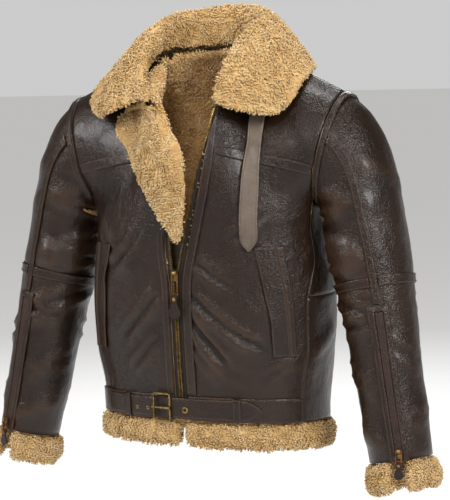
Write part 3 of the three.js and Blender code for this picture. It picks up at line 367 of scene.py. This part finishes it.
def treeOf(points):
    tree = KDTree(len(points))
    for i, point in enumerate(points):
        tree.insert(point, i)
    tree.balance()
    return tree


# Points a spacing apart, in metres, along edges given by their ends
def along(pairs, spacing):
    points = []
    for a, b in pairs:
        count = max(1, int((b - a).length / spacing))
        points += [a.lerp(b, i / count) for i in range(count + 1)]
    return points


# Eases from 0 to 1, and stays there on either side
def smooth(t):
    t = min(max(t, 0), 1)
    return t * t * (3 - 2 * t)


def setAttribute(obj, name, values):
    layer = obj.data.attributes.get(name) or obj.data.attributes.new(name, "FLOAT", "POINT")
    layer.data.foreach_set("value", np.asarray(values, np.float32))


def finishPiece(obj, node, body):
    activate(obj)
    bpy.ops.object.shade_smooth()
    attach(obj, body)
    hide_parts(node)


# Creases pressed into the leather of the body: points in millimetres, half width and height
bodyCreases = [
    {"points": [(16, -150, -352), (58, -146, -392), (112, -132, -436), (150, -116, -452)],
     "wide": 9, "deep": 3.6},
    {"points": [(14, -150, -392), (52, -146, -440), (96, -136, -492)], "wide": 9, "deep": 3.2},
    {"points": [(30, -150, -300), (66, -148, -330), (104, -138, -352)], "wide": 8, "deep": 2.4},
    {"points": [(20, -150, -440), (60, -145, -488), (84, -138, -520)], "wide": 7, "deep": 2.2},
    {"points": [(196, -30, -500), (172, -84, -478), (140, -116, -500)], "wide": 8, "deep": 2.6},
    {"points": [(-24, -150, -350), (-66, -146, -396), (-118, -130, -446)], "wide": 9, "deep": 3.0},
    {"points": [(-24, -150, -420), (-70, -142, -470), (-104, -134, -500)], "wide": 8, "deep": 2.6},
    {"points": [(-60, -150, -250), (-96, -142, -292), (-140, -122, -330)], "wide": 9, "deep": 2.6},
    {"points": [(150, -110, -225), (118, -134, -258), (84, -146, -276)], "wide": 9, "deep": 2.4},
    {"points": [(-176, -96, -240), (-150, -116, -276), (-128, -130, -300)], "wide": 8, "deep": 2.4},
    {"points": [(-120, 122, -330), (-60, 132, -352), (10, 134, -348), (70, 130, -366)],
     "wide": 11, "deep": 3.2},
    {"points": [(130, 110, -420), (60, 130, -442), (-30, 134, -436), (-90, 124, -456)],
     "wide": 11, "deep": 3.0},
    {"points": [(-150, 96, -480), (-90, 120, -500), (-20, 130, -496)], "wide": 10, "deep": 2.6},
    {"points": [(160, 84, -300), (120, 110, -330), (70, 128, -342)], "wide": 9, "deep": 2.6},
    {"points": [(-190, 60, -290), (-160, 90, -322), (-110, 118, -350)], "wide": 9, "deep": 2.6},
    {"points": [(140, 90, -160), (70, 120, -178), (-10, 128, -172), (-80, 118, -186)],
     "wide": 12, "deep": 2.4},
    {"points": [(205, 20, -420), (204, -20, -450), (190, -60, -470)], "wide": 8, "deep": 2.4},
    {"points": [(-205, 20, -430), (-203, -24, -462), (-188, -66, -480)], "wide": 8, "deep": 2.4},
]
# Creases of a sleeve: height at the middle, middle angle and half its span, slope, half width, height
sleeveCreases = [
    {"z": -206, "angle": 96, "span": 60, "slope": 22, "wide": 8, "deep": 2.6},
    {"z": -238, "angle": 130, "span": 55, "slope": -18, "wide": 8, "deep": 3.0},
    {"z": -286, "angle": 120, "span": 70, "slope": 16, "wide": 9, "deep": 3.4},
    {"z": -318, "angle": 150, "span": 80, "slope": -12, "wide": 9, "deep": 3.8},
    {"z": -342, "angle": 110, "span": 60, "slope": 10, "wide": 8, "deep": 3.0},
    {"z": -378, "angle": 140, "span": 75, "slope": 18, "wide": 9, "deep": 3.4},
    {"z": -412, "angle": 112, "span": 60, "slope": -20, "wide": 9, "deep": 3.0},
    {"z": -452, "angle": 44, "span": 50, "slope": 26, "wide": 9, "deep": 2.6},
    {"z": -500, "angle": 128, "span": 60, "slope": 20, "wide": 9, "deep": 2.6},
    {"z": -556, "angle": 30, "span": 60, "slope": -22, "wide": 9, "deep": 2.4},
    {"z": -596, "angle": 112, "span": 70, "slope": 10, "wide": 8, "deep": 2.6},
    {"z": -300, "angle": 262, "span": 60, "slope": -16, "wide": 9, "deep": 2.6},
    {"z": -396, "angle": 284, "span": 64, "slope": 20, "wide": 9, "deep": 2.8},
    {"z": -470, "angle": 236, "span": 60, "slope": -20, "wide": 9, "deep": 2.6},
    {"z": -552, "angle": 260, "span": 70, "slope": 18, "wide": 9, "deep": 2.4},
    {"z": -170, "angle": 20, "span": 50, "slope": 30, "wide": 10, "deep": 2.0},
]
# Middle line of the left sleeve, in millimetres
sleeveLine = [
    {"z": -133, "x": 238, "y": -2},
    {"z": -200, "x": 264, "y": -2},
    {"z": -262, "x": 281, "y": -4},
    {"z": -352, "x": 301, "y": -17},
    {"z": -430, "x": 316, "y": -28},
    {"z": -530, "x": 334, "y": -41},
    {"z": -632, "x": 353, "y": -54},
]
# Half widths of the sleeve, steps along a crease, and how far the right sleeve's creases are shifted
sleeveSet = {"halfX": 62, "halfY": 64, "steps": 8, "shift": 9}


def sleeveMiddle(z):
    rows = sleeveLine[::-1]
    heights = [row["z"] for row in rows]
    return [np.interp(z, heights, [row[axis] for row in rows]) for axis in ("x", "y")]


def foldLines(side=None):
    lines = []
    if side is None:
        for crease in bodyCreases:
            lines.append(([Vector(p) for p in crease["points"]], crease["wide"], crease["deep"]))
        return lines
    flip, shift = (1, 0) if side == "left" else (-1, sleeveSet["shift"])
    for i, crease in enumerate(sleeveCreases):
        points = []
        for step in range(sleeveSet["steps"] + 1):
            t = step / sleeveSet["steps"] - 0.5
            angle = math.radians(crease["angle"] + t * 2 * crease["span"] + shift * (i % 3 - 1))
            z = crease["z"] + crease["slope"] * t * 2 + shift * ((i + 1) % 3 - 1)
            x, y = sleeveMiddle(z)
            points.append(Vector((flip * (x + sleeveSet["halfX"] * math.cos(angle)),
                                  y - sleeveSet["halfY"] * math.sin(angle), z)))
        lines.append((points, crease["wide"], crease["deep"]))
    return lines


# A furrow with a softer ridge on either side, in half widths of the crease
furrowSet = {"reach": 3.2, "fade": 3.2, "end": 0.12, "dip": 0.55, "ridgeAt": 1.25,
             "ridgeWide": 0.75, "ridgeHigh": 0.85}


# Height that one fold adds at a point
def creaseAt(point, line):
    own = furrowSet
    points, wide, deep = line
    best, where, count = 1e9, 0, len(points) - 1
    for i in range(count):
        a, b = points[i], points[i + 1]
        span = b - a
        t = min(max((point - a).dot(span) / span.length_squared, 0), 1)
        distance = (point - a - span * t).length
        if distance < best:
            best, where = distance, (i + t) / count
    if best > wide * own["reach"]:
        return 0
    fade = smooth(min(where, 1 - where) * own["fade"] + own["end"])
    x = best / wide
    ridge = own["ridgeHigh"] * math.exp(-((x - own["ridgeAt"]) / own["ridgeWide"]) ** 2)
    return deep * fade * (ridge - math.exp(-(x / own["dip"]) ** 2))


# Lengths in millimetres: edge is how far the folds take to fade in from a seam
panelSet = {"crease": 0.55, "levels": 2, "edge": 22, "seam": 2, "margin": 30, "fold": 1.85,
            "sway": 1.5, "swayLong": 34, "ripple": 0.8, "rippleLong": 13}
# Wear, dirt and painted shade of a panel: shares of wear on the folds and at the seams, of dirt at the
# seams, of painted shade in the hollows of the folds, and the lengths these fade over
wearSet = {"fold": 0.55, "from": 1.2, "over": 3, "seam": 0.35, "seamOver": 7, "dirtAndShade": 0.6,
           "dirtOver": 2.6, "foldShade": 0.35}
# How far the faces of the lining reach, from the root of the fleece at 0 to its tips at 1; a low reach
# paints the faces in the dark root colour, as painted shade under the locks
liningReach = {"base": 0.16, "spread": 0.3, "scale": 60}


def panel(node, side=None):
    obj, sharp = copyNode(node, node + "_leather", panelSet["crease"])
    border = treeOf(along(sharp, 0.006))
    applyModifier(obj, "SUBSURF", levels=panelSet["levels"], render_levels=panelSet["levels"])
    margin = panelSet["margin"]
    boxes = [(Vector([min(p[k] for p in line[0]) - margin for k in range(3)]),
              Vector([max(p[k] for p in line[0]) + margin for k in range(3)]), line)
             for line in foldLines(side)]
    mesh = obj.data
    points = [v.co.copy() for v in mesh.vertices]
    normals = [v.normal.copy() for v in mesh.vertices]
    rub, dark, moved = [], [], []
    for point, normal in zip(points, normals):
        near = border.find(point)[2]
        weight = smooth((near / mm - panelSet["seam"]) / panelSet["edge"])
        spot = point / mm
        lift = 0
        if weight > 0:
            for low, high, line in boxes:
                if all(low[k] <= spot[k] <= high[k] for k in range(3)):
                    lift += creaseAt(spot, line) * panelSet["fold"]
            swayed = Vector((spot.x, spot.y, spot.z * 0.6)) / panelSet["swayLong"]
            lift += panelSet["sway"] * noise.noise(swayed)
            rippled = spot / panelSet["rippleLong"] + Vector((7, 3, 1))
            lift += panelSet["ripple"] * noise.noise(rippled)
        moved.append(point + normal * lift * weight * mm)
        rub.append(wearSet["fold"] * smooth((lift - wearSet["from"]) / wearSet["over"])
                   + wearSet["seam"] * smooth(1 - near / mm / wearSet["seamOver"]))
        # Dirt near the seams, plus painted shade where the leather sinks into a fold
        dark.append(wearSet["dirtAndShade"] * smooth(1 - near / mm / wearSet["dirtOver"])
                    + wearSet["foldShade"] * smooth(-lift / wearSet["over"]))
    mesh.vertices.foreach_set("co", np.array(moved, np.float32).ravel())
    mesh.update()
    setAttribute(obj, "rub", rub)
    setAttribute(obj, "seamDark", dark)
    # A low reach paints the lining faces dark: painted shade under the locks
    setAttribute(obj, "reach", [liningReach["base"] + liningReach["spread"]
                                * noise.noise(p * liningReach["scale"]) for p in moved])
    mesh.materials.append(finishes["leather"])
    mesh.materials.append(finishes["lining"])
    for face in mesh.polygons:
        spot = face.center / mm
        inside = bareFleece(node, spot) or facesIn(spot, face.normal, side)
        face.material_index = 1 if inside else 0
    finishPiece(obj, node, "jacket")
    return obj


# Fleece shows at the fold of the lapel and where the collar leaves the back
def bareFleece(node, spot):
    return (node == "front_yoke_right" and spot.x > -84 and spot.z > -112
            or node == "back" and abs(spot.x) < 82 and spot.z > -14)


# Places inside the garment, in millimetres: above armTop a sleeve's wall faces the shoulder's own
insideSet = {"share": 0.3, "bodyTop": -120, "stripTop": -60, "lineTop": -200, "armTop": -262,
             "shoulderX": 215, "shoulderZ": -190, "rise": 10}


def bodyInside(x, z, top):
    return Vector((x * insideSet["share"], 0, min(z, top)))


def armInside(side, z):
    x, y = sleeveMiddle(min(z, insideSet["lineTop"]))
    flip = 1 if side == "left" else -1
    if z < insideSet["armTop"]:
        return Vector((flip * x, y, z + insideSet["rise"]))
    return Vector((flip * insideSet["shoulderX"], y, insideSet["shoulderZ"]))


# True on the fleece side of a panel
def facesIn(place, normal, side):
    if side is None:
        middle = bodyInside(place.x, place.z, insideSet["bodyTop"])
    else:
        middle = armInside(side, place.z)
    return (place - middle).dot(normal) < 0


bodyPanels = ["front_left", "front_yoke_left", "front_right", "front_yoke_right",
              "side_lower_left", "side_upper_left", "side_lower_right", "side_upper_right", "back"]
sheetPieces = {}
for node in bodyPanels:
    sheetPieces[node] = panel(node)
for side in sides:
    for part in ("upper_outer", "lower_outer", "upper_under", "lower_under"):
        node = f"sleeve_{part}_{side}"
        sheetPieces[node] = panel(node, side)
print("panels made")

stripSet = {"crease": 0.75, "levels": 2, "rub": 0.75, "rubOver": 1.6}


# A strip, strap or tape, paler along its edges
def strip(node, finish):
    obj, sharp = copyNode(node, node + "_cut", stripSet["crease"])
    border = treeOf(along(sharp, 0.004))
    applyModifier(obj, "SUBSURF", levels=stripSet["levels"], render_levels=stripSet["levels"])
    near = [border.find(v.co)[2] / mm for v in obj.data.vertices]
    setAttribute(obj, "rub", [stripSet["rub"] * smooth(1 - n / stripSet["rubOver"]) for n in near])
    setAttribute(obj, "seamDark", [0.0] * len(near))
    obj.data.materials.append(finishes[finish])
    finishPiece(obj, node, "jacket")
    return obj


stripNodes = ["wind_flap", "belt_band_left", "belt_band_right", "belt_strap", "belt_tail",
              "belt_keeper_left", "belt_keeper_right"]
stripNodes += [f"{kind}_{side}" for side in sides
               for kind in ("fly_strip", "yoke_strip", "armhole_strip", "sleeve_strip", "elbow_strip",
                            "sleeve_binding", "pocket")]
for node in stripNodes:
    sheetPieces[node] = strip(node, "strip")
for side in sides:
    sheetPieces[f"sleeve_zip_{side}"] = strip(f"sleeve_zip_{side}", "gusset")
    sheetPieces[f"zip_tape_{side}"] = strip(f"zip_tape_{side}", "tape")
sheetPieces["collar_strap"] = strip("collar_strap", "strap")
print("strips made")

# How near to outward the top of a strip faces, and how straight two edges of one line join
lineSet = {"top": 0.6, "straight": 0.75}


# Sharp edges of the outer face of a strip, joined end to end into lines
def edgeLines(node, outward):
    mesh = quadMesh(nodes[node].data)
    kept = {}
    for edge in mesh.edges:
        if not isSharp(edge):
            continue
        tops = [f for f in edge.link_faces
                if f.normal.dot(outward(f.calc_center_median())) > lineSet["top"]]
        if len(tops) != 1:
            continue
        middle = (edge.verts[0].co + edge.verts[1].co) / 2
        inward = tops[0].calc_center_median() - middle
        axis = (edge.verts[1].co - edge.verts[0].co).normalized()
        inward = (inward - axis * inward.dot(axis)).normalized()
        kept[edge.index] = (edge.verts[0].index, edge.verts[1].index, inward, tops[0].normal.copy())
    places = [v.co.copy() for v in mesh.verts]
    mesh.free()
    touching = {}
    for key, (a, b, _, _) in kept.items():
        touching.setdefault(a, []).append(key)
        touching.setdefault(b, []).append(key)
    lines, used = [], set()
    for first in kept:
        if first in used:
            continue
        used.add(first)
        line = [kept[first]]
        for end in (1, 0):
            here, last = kept[first][end], first
            while True:
                ahead = [k for k in touching.get(here, []) if k not in used]
                straight = None
                for k in ahead:
                    a, b = kept[k][0], kept[k][1]
                    d = (places[b if a == here else a] - places[here]).normalized()
                    e0, e1 = kept[last][0], kept[last][1]
                    e = (places[here] - places[e0 if e1 == here else e1]).normalized()
                    if d.dot(e) > lineSet["straight"]:
                        straight = k
                if straight is None:
                    break
                a, b, inward, normal = kept[straight]
                nextOne = b if a == here else a
                row = (here, nextOne, inward, normal)
                line = line + [row] if end == 1 else [(nextOne, here, inward, normal)] + line
                used.add(straight)
                here, last = nextOne, straight
        lines.append([(places[a], places[b], inward, normal) for a, b, inward, normal in line])
    return lines


def outOfBody(point):
    middle = bodyInside(point.x / mm, point.z / mm, insideSet["stripTop"])
    return (point - middle * mm).normalized()


def outOfArm(side):
    return lambda point: (point - armInside(side, point.z / mm) * mm).normalized()


# Corners of a block's section, as shares of its width and height, and how much shorter its top is
blockSet = {"section": ((-0.5, 0), (0.5, 0), (0.32, 1), (-0.32, 1)), "taper": 0.3}


# Many small closed blocks gathered into one mesh
class Bits:
    def __init__(self):
        self.points, self.faces = [], []

    def block(self, place, axis, across, up, size):
        a = len(self.points)
        for i in (-0.5, 0.5):
            for j, k in blockSet["section"]:
                at = axis * (i * size[0] * (1 - blockSet["taper"] * k))
                self.points.append(place + at + across * (j * size[1]) + up * (k * size[2]))
        self.faces += [(a + 3, a + 2, a + 1, a), (a + 4, a + 5, a + 6, a + 7)]
        self.faces += [(a + i, a + (i + 1) % 4, a + 4 + (i + 1) % 4, a + 4 + i) for i in range(4)]

    # Blocks along a line of edges, inset from it in millimetres
    def follow(self, line, values, inset):
        if sum((b - a).length for a, b, _, _ in line) / mm < values["shortest"]:
            return
        carried = values["start"]
        for a, b, inward, normal in line:
            length = (b - a).length / mm
            axis = (b - a).normalized()
            at = carried
            while at < length:
                place = a + axis * at * mm + inward * inset * mm + normal * values["lift"] * mm
                self.block(place, axis, inward, normal, [s * mm for s in values["size"]])
                at += values["pitch"]
            carried = at - length

    def make(self, name, body, finish):
        mesh = bpy.data.meshes.new(name)
        mesh.from_pydata([tuple(p) for p in self.points], [], self.faces)
        mesh.materials.append(finishes[finish])
        obj = addObject(name, mesh)
        work = bmesh.new()
        work.from_mesh(mesh)
        bmesh.ops.recalc_face_normals(work, faces=work.faces)
        work.to_mesh(mesh)
        work.free()
        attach(obj, body)
        return obj


# Lengths in millimetres; a line shorter than the last one gets none
stitchSet = {"pitch": 4.4, "size": (3.2, 0.75, 0.35), "inset": 2.2, "strapInset": 2.8,
             "lift": 0.02, "start": 2.2, "shortest": 60}
threadBits = Bits()
for side in sides:
    for kind in ("fly_strip", "yoke_strip", "pocket"):
        for line in edgeLines(f"{kind}_{side}", outOfBody):
            threadBits.follow(line, stitchSet, stitchSet["inset"])
    for kind in ("armhole_strip", "sleeve_strip", "elbow_strip", "sleeve_binding"):
        for line in edgeLines(f"{kind}_{side}", outOfArm(side)):
            threadBits.follow(line, stitchSet, stitchSet["inset"])
for node in ("belt_band_left", "belt_band_right", "belt_strap", "belt_tail", "collar_strap"):
    for line in edgeLines(node, outOfBody):
        threadBits.follow(line, stitchSet, stitchSet["strapInset"])
stitches = threadBits.make("stitching", "jacket", "thread")
print("stitches made", len(threadBits.faces))

toothSet = {"pitch": 2.6, "size": (1.5, 4.2, 2.6), "inset": 1.2, "lift": -0.3, "start": 1.0,
            "shortest": 120}


# Brass teeth along the edge of a tape that lies nearest the opening
def teeth(node, name, inwards):
    bits = Bits()
    for line in edgeLines(node, outOfBody):
        if sum(inward.x for _, _, inward, _ in line) * inwards > 0:
            bits.follow(line, toothSet, toothSet["inset"])
    obj = bits.make(name, "jacket", "brass")


teeth("zip_tape_left", "teeth_left", 1)
teeth("zip_tape_right", "teeth_right", -1)
print("teeth made")


# Fleece: a lumpy skin sunk into the node by sink, with curled locks; lengths in millimetres
fleeceSet = {
    "collar": {"sink": 4.6, "lock": 8.5, "spacing": 4.0, "lump": 3.0, "seed": 3},
    "lapel": {"sink": 4.0, "lock": 7.5, "spacing": 3.0, "lump": 2.6, "seed": 5},
    "hem_fleece": {"sink": 4.4, "lock": 8, "spacing": 3.7, "lump": 2.8, "seed": 7},
    "cuff_fleece_left": {"sink": 4.2, "lock": 7.5, "spacing": 3.1, "lump": 2.6, "seed": 11},
    "cuff_fleece_right": {"sink": 4.2, "lock": 7.5, "spacing": 3.1, "lump": 2.6, "seed": 13},
}


def curlField(place, scale, seed):
    return noise.noise_vector(place * scale + Vector((seed, seed * 2.3, -seed)))


# From 0 in the partings to 1 on the crown of a tuft
def tuft(place, seed):
    coarse = 0.75 * noise.noise(place * 74 + Vector((seed, 2, 0)))
    return smooth(0.5 + coarse + 0.3 * noise.noise(place * 150))


# How a lock leans, twists and lengthens; its middle and end are shares of its length
lockSet = {"rise": 0.6, "lean": 1.05, "leanLong": 48, "twirl": 0.4, "twirlLong": 170, "low": 0.25,
           "least": 0.55, "tuft": 0.25, "chance": 0.35, "middle": 0.55, "middleOver": 0.18,
           "end": 0.8, "endOver": 0.26, "root": 0.8, "rootWide": 1.35, "middleWide": 1.15}


# Curled locks over a set of triangles: (corners, normal) pairs in, points, faces and reach out
def growLocks(triangles, values, points, faces, reach):
    own = lockSet
    random.seed(values["seed"])
    share = 1 / (values["spacing"] * mm) ** 2
    owed = 0
    for (a, b, c), normal in triangles:
        owed += (b - a).cross(c - a).length / 2 * share
        while owed >= 1:
            owed -= 1
            s, t = random.random(), random.random()
            if s + t > 1:
                s, t = 1 - s, 1 - t
            root = a + (b - a) * s + (c - a) * t
            lean = curlField(root, own["leanLong"], values["seed"])
            twirl = curlField(root, own["twirlLong"], values["seed"] + 4)
            out = (normal * own["rise"] + lean * own["lean"] + twirl * own["twirl"]).normalized()
            if out.dot(normal) < own["low"]:
                out = (out + normal * own["rise"]).normalized()
            tone = tuft(root, values["seed"])
            stretch = own["least"] + own["tuft"] * tone + own["chance"] * random.random()
            length = values["lock"] * mm * stretch
            side = out.cross(normal + lean * 0.3)
            side = side.normalized() if side.length > 1e-4 else out.orthogonal().normalized()
            over = side.cross(out)
            foot = root - normal * own["root"] * mm
            middle = root + out * length * own["middle"] + over * length * own["middleOver"]
            end = root + out * length * own["end"] - over * length * own["endOver"]
            q = len(points)
            for centre, wide in ((foot, own["rootWide"]), (middle, own["middleWide"])):
                for k in range(3):
                    turn = k * 2.0944
                    ring = side * math.cos(turn) + over * math.sin(turn)
                    points.append(centre + ring * wide * mm)
            points.append(end)
            # Root, middle and tip of a lock: the dark root colour is painted shade down in the fleece,
            # the pale tips are its own colour
            reach += [0.15 + 0.3 * tone] * 3 + [0.4 + 0.35 * tone] * 3 + [0.6 + 0.4 * tone]
            faces += [(q + 2, q + 1, q)]
            faces += [(q + k, q + (k + 1) % 3, q + 3 + (k + 1) % 3, q + 3 + k) for k in range(3)]
            faces += [(q + 3 + k, q + 3 + (k + 1) % 3, q + 6) for k in range(3)]


def fleeceMesh(name, finish, points, faces):
    made = bpy.data.meshes.new(name)
    made.from_pydata([tuple(p) for p in points], [], faces)
    made.materials.append(finishes[finish])
    return made


lockPoints, lockTriangles = 7, 10
skinSet = {"levels": 2, "coarse": 1.5, "level": 0.55, "fine": 0.6, "fineLong": 36}


def fleecePiece(node, values):
    obj, _ = copyNode(node, node + "_curls", 0)
    applyModifier(obj, "SUBSURF", levels=skinSet["levels"], render_levels=skinSet["levels"])
    mesh = obj.data
    normals = [v.normal.copy() for v in mesh.vertices]
    points, reach = [], []
    for vertex, normal in zip(mesh.vertices, normals):
        spot = vertex.co
        tone = tuft(spot, values["seed"])
        lump = (skinSet["coarse"] * (tone - skinSet["level"])
                + skinSet["fine"] * noise.noise(spot * skinSet["fineLong"]))
        # The skin takes the dark root colour, darkest in the partings: painted shade between the tufts
        reach.append(0.1 + 0.35 * tone)
        points.append(spot + normal * (values["lump"] * lump - values["sink"]) * mm)
    mesh.vertices.foreach_set("co", np.array(points, np.float32).ravel())
    mesh.update()
    mesh.calc_loop_triangles()
    skin = len(points)
    faces = [tuple(p.vertices) for p in mesh.polygons]
    triangles = [([points[i] for i in t.vertices], t.normal.copy()) for t in mesh.loop_triangles]
    growLocks(triangles, values, points, faces, reach)
    obj.data = fleeceMesh(node + "_fleece", "fleece", points, faces)
    setAttribute(obj, "reach", reach)
    finishPiece(obj, node, "jacket")
    count = (len(points) - skin) // lockPoints
    print(node, "locks", count, "triangles", count * lockTriangles)


for node, values in fleeceSet.items():
    fleecePiece(node, values)
print("fleece made")

# Locks of the lining where the open front lets it be seen, on the faces that each test picks
liningSet = {
    "back": {"test": lambda p: abs(p.x) < 125 and p.z > -330, "lock": 9, "spacing": 3.6, "seed": 21},
    "front_right": {"test": lambda p: p.x > -105 and p.z > -330, "lock": 8, "spacing": 4.0, "seed": 23},
    "front_left": {"test": lambda p: p.x < 90 and p.z > -300, "lock": 8, "spacing": 4.0, "seed": 29},
    "front_yoke_right": {"test": lambda p: p.x > -110, "lock": 8, "spacing": 4.0, "seed": 27},
    "front_yoke_left": {"test": lambda p: p.x < 110, "lock": 8, "spacing": 4.0, "seed": 25},
}
liningLocks = {}
liningSink = 1.0


def liningPiece(node, values):
    mesh = sheetPieces[node].data
    mesh.calc_loop_triangles()
    triangles = []
    for t in mesh.loop_triangles:
        inside = mesh.polygons[t.polygon_index].material_index == 1
        if inside and values["test"](Vector(t.center) / mm):
            corners = [mesh.vertices[i].co - t.normal * liningSink * mm for i in t.vertices]
            triangles.append((corners, t.normal.copy()))
    points, faces, reach = [], [], []
    growLocks(triangles, values, points, faces, reach)
    obj = addObject(node + "_lining_locks", fleeceMesh(node + "_lining", "lining", points, faces))
    setAttribute(obj, "reach", reach)
    activate(obj)
    bpy.ops.object.shade_smooth()
    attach(obj, "jacket")
    print(node, "lining locks", len(points) // lockPoints)
    return obj


for node, values in liningSet.items():
    liningLocks[node] = liningPiece(node, values)
print("lining made")

# Sections along a piece, the flattest slant that counts, the widest section, the least width
cutSet = {"bins": 24, "flattest": 0.12, "widest": 92, "least": 0.0102}


# Half the surface is the area of the cut; its length runs along the piece
def cutSize(obj):
    mesh = obj.data
    count = len(mesh.polygons)
    area, centre, normal = np.empty(count), np.empty(count * 3), np.empty(count * 3)
    mesh.polygons.foreach_get("area", area)
    mesh.polygons.foreach_get("center", centre)
    mesh.polygons.foreach_get("normal", normal)
    centre, normal = centre.reshape(-1, 3), normal.reshape(-1, 3)
    middle = (centre * area[:, None]).sum(0) / area.sum()
    spread = ((centre - middle) * area[:, None]).T @ (centre - middle)
    main = np.linalg.eigh(spread)[1][:, 2]
    at = (centre - middle) @ main
    slant = 1 / np.sqrt(np.maximum(1 - (normal @ main) ** 2, cutSet["flattest"]))
    bins = cutSet["bins"]
    reach = at.max() - at.min()
    place = np.clip(((at - at.min()) / reach * bins).astype(int), 0, bins - 1)
    held = np.bincount(place, area, bins)
    step = reach / bins * np.bincount(place, area * slant, bins) / np.maximum(held, 1e-12)
    wide = held / 2 / np.maximum(step, 1e-9)
    widest = max(float(np.percentile(wide, cutSet["widest"])), cutSet["least"])
    return widest, float(step.sum()), float(area.sum() / 2)


heldAs = {"collar_strap": "hung", "wind_flap": "hung"}
for node, obj in sheetPieces.items():
    wide, long, area = cutSize(obj)
    wide = max(wide, area / long)
    locks = [liningLocks[node]] if node in liningLocks else []
    held = heldAs.get(node, "stretched" if node in bodyPanels else "laid")
for node in nodes:
    if node in sheetPieces or node in fleeceSet:
        continue
    finish = "strip" if node.endswith("_tab") else "copper" if node.endswith("_pull") else "brass"
    nodes[node].data.materials.clear()
    nodes[node].data.materials.append(finishes[finish])


# Nearest spot of a node's surface to a place in millimetres, with the way out of it
def onNode(node, place, outward):
    mesh = nodes[node].data
    faces = [tuple(p.vertices) for p in mesh.polygons]
    tree = BVHTree.FromPolygons([v.co for v in mesh.vertices], faces)
    spot, normal, _, _ = tree.find_nearest(Vector(place) * mm)
    return spot, normal if normal.dot(outward) > 0 else outward


# Sets a small brass piece down on a spot, facing along the normal
def setDown(obj, name, spot, normal, body):
    turn = Vector((0, 0, 1)).rotation_difference(normal)
    obj.name = name
    obj.matrix_world = Matrix.Translation(spot) @ turn.to_matrix().to_4x4()
    activate(obj)
    bpy.ops.object.transform_apply(location=True, rotation=True, scale=True)
    bpy.ops.object.shade_smooth()
    obj.data.materials.append(finishes["brass"])
    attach(obj, body)


# Eyelets of the belt: rings about a hole, the one beside the buckle larger; in millimetres
eyeletSet = [
    {"node": "belt_strap", "place": (9, -150, -556), "ring": 6.0, "wire": 1.3},
    {"node": "belt_tail", "place": (-64, -150, -557), "ring": 3.6, "wire": 0.9},
    {"node": "belt_tail", "place": (-88, -146, -558), "ring": 3.6, "wire": 0.9},
]
eyeletLift, eyeletThrough = 0.3, 0.7
for count, eyelet in enumerate(eyeletSet):
    spot, normal = onNode(eyelet["node"], eyelet["place"], Vector((0, -1, 0)))
    bpy.ops.object.select_all(action="DESELECT")
    bpy.ops.mesh.primitive_torus_add(major_radius=eyelet["ring"] * eyeletThrough * mm,
                                     minor_radius=eyelet["wire"] * mm,
                                     major_segments=24, minor_segments=8)
    setDown(bpy.context.active_object, f"eyelet_{count + 1}", spot + normal * eyeletLift * mm,
            normal, "jacket")

# Round stud near the narrow top of each leather pull tab: radius, the way it faces, how flat
studSet = {
    "zip": {"radius": 3.0, "out": (0, -1, 0)},
    "cuff_left": {"radius": 2.3, "out": (0.3, -0.95, 0)},
    "cuff_right": {"radius": 2.3, "out": (-0.3, -0.95, 0)},
}
studFlat, studDown = 0.4, 2.2
for prefix, values in studSet.items():
    corners = [v.co for v in nodes[f"{prefix}_pull_tab"].data.vertices]
    top = max(c.z for c in corners)
    high = [c for c in corners if c.z > top - mm]
    down = Vector((0, 0, values["radius"] * studDown * mm))
    middle = sum(high, Vector()) / len(high) - down
    out = Vector(values["out"])
    spot, normal = onNode(f"{prefix}_pull_tab", (middle + out * 0.01) / mm, out)
    bpy.ops.object.select_all(action="DESELECT")
    bpy.ops.mesh.primitive_uv_sphere_add(segments=20, ring_count=10, radius=values["radius"] * mm)
    stud = bpy.context.active_object
    stud.scale = (1, 1, studFlat)
    bpy.ops.object.transform_apply(location=False, rotation=False, scale=True)
    setDown(stud, f"{prefix}_stud", spot, normal, f"{prefix}_pull_body")
print("metal finished")

floorSet = {"size": 90, "height": -1.05, "tone": 0.55, "rough": 0.9, "glow": 0.42}


# Pale floor that glows a little, so that it runs on into the background
def makeFloor(values):
    bpy.ops.object.select_all(action="DESELECT")
    bpy.ops.mesh.primitive_plane_add(size=values["size"], location=(0, 0, values["height"]))
    floor = bpy.context.active_object
    floor.name = "floor"
    bpy.ops.object.transform_apply(location=True, rotation=True, scale=True)
    shader = Shader("paleFloor")
    shader.feed(Base_Color=(*[values["tone"]] * 3, 1), Roughness=values["rough"],
                Emission_Color=(1, 1, 1, 1), Emission_Strength=values["glow"])
    floor.data.materials.append(shader.material)


makeFloor(floorSet)
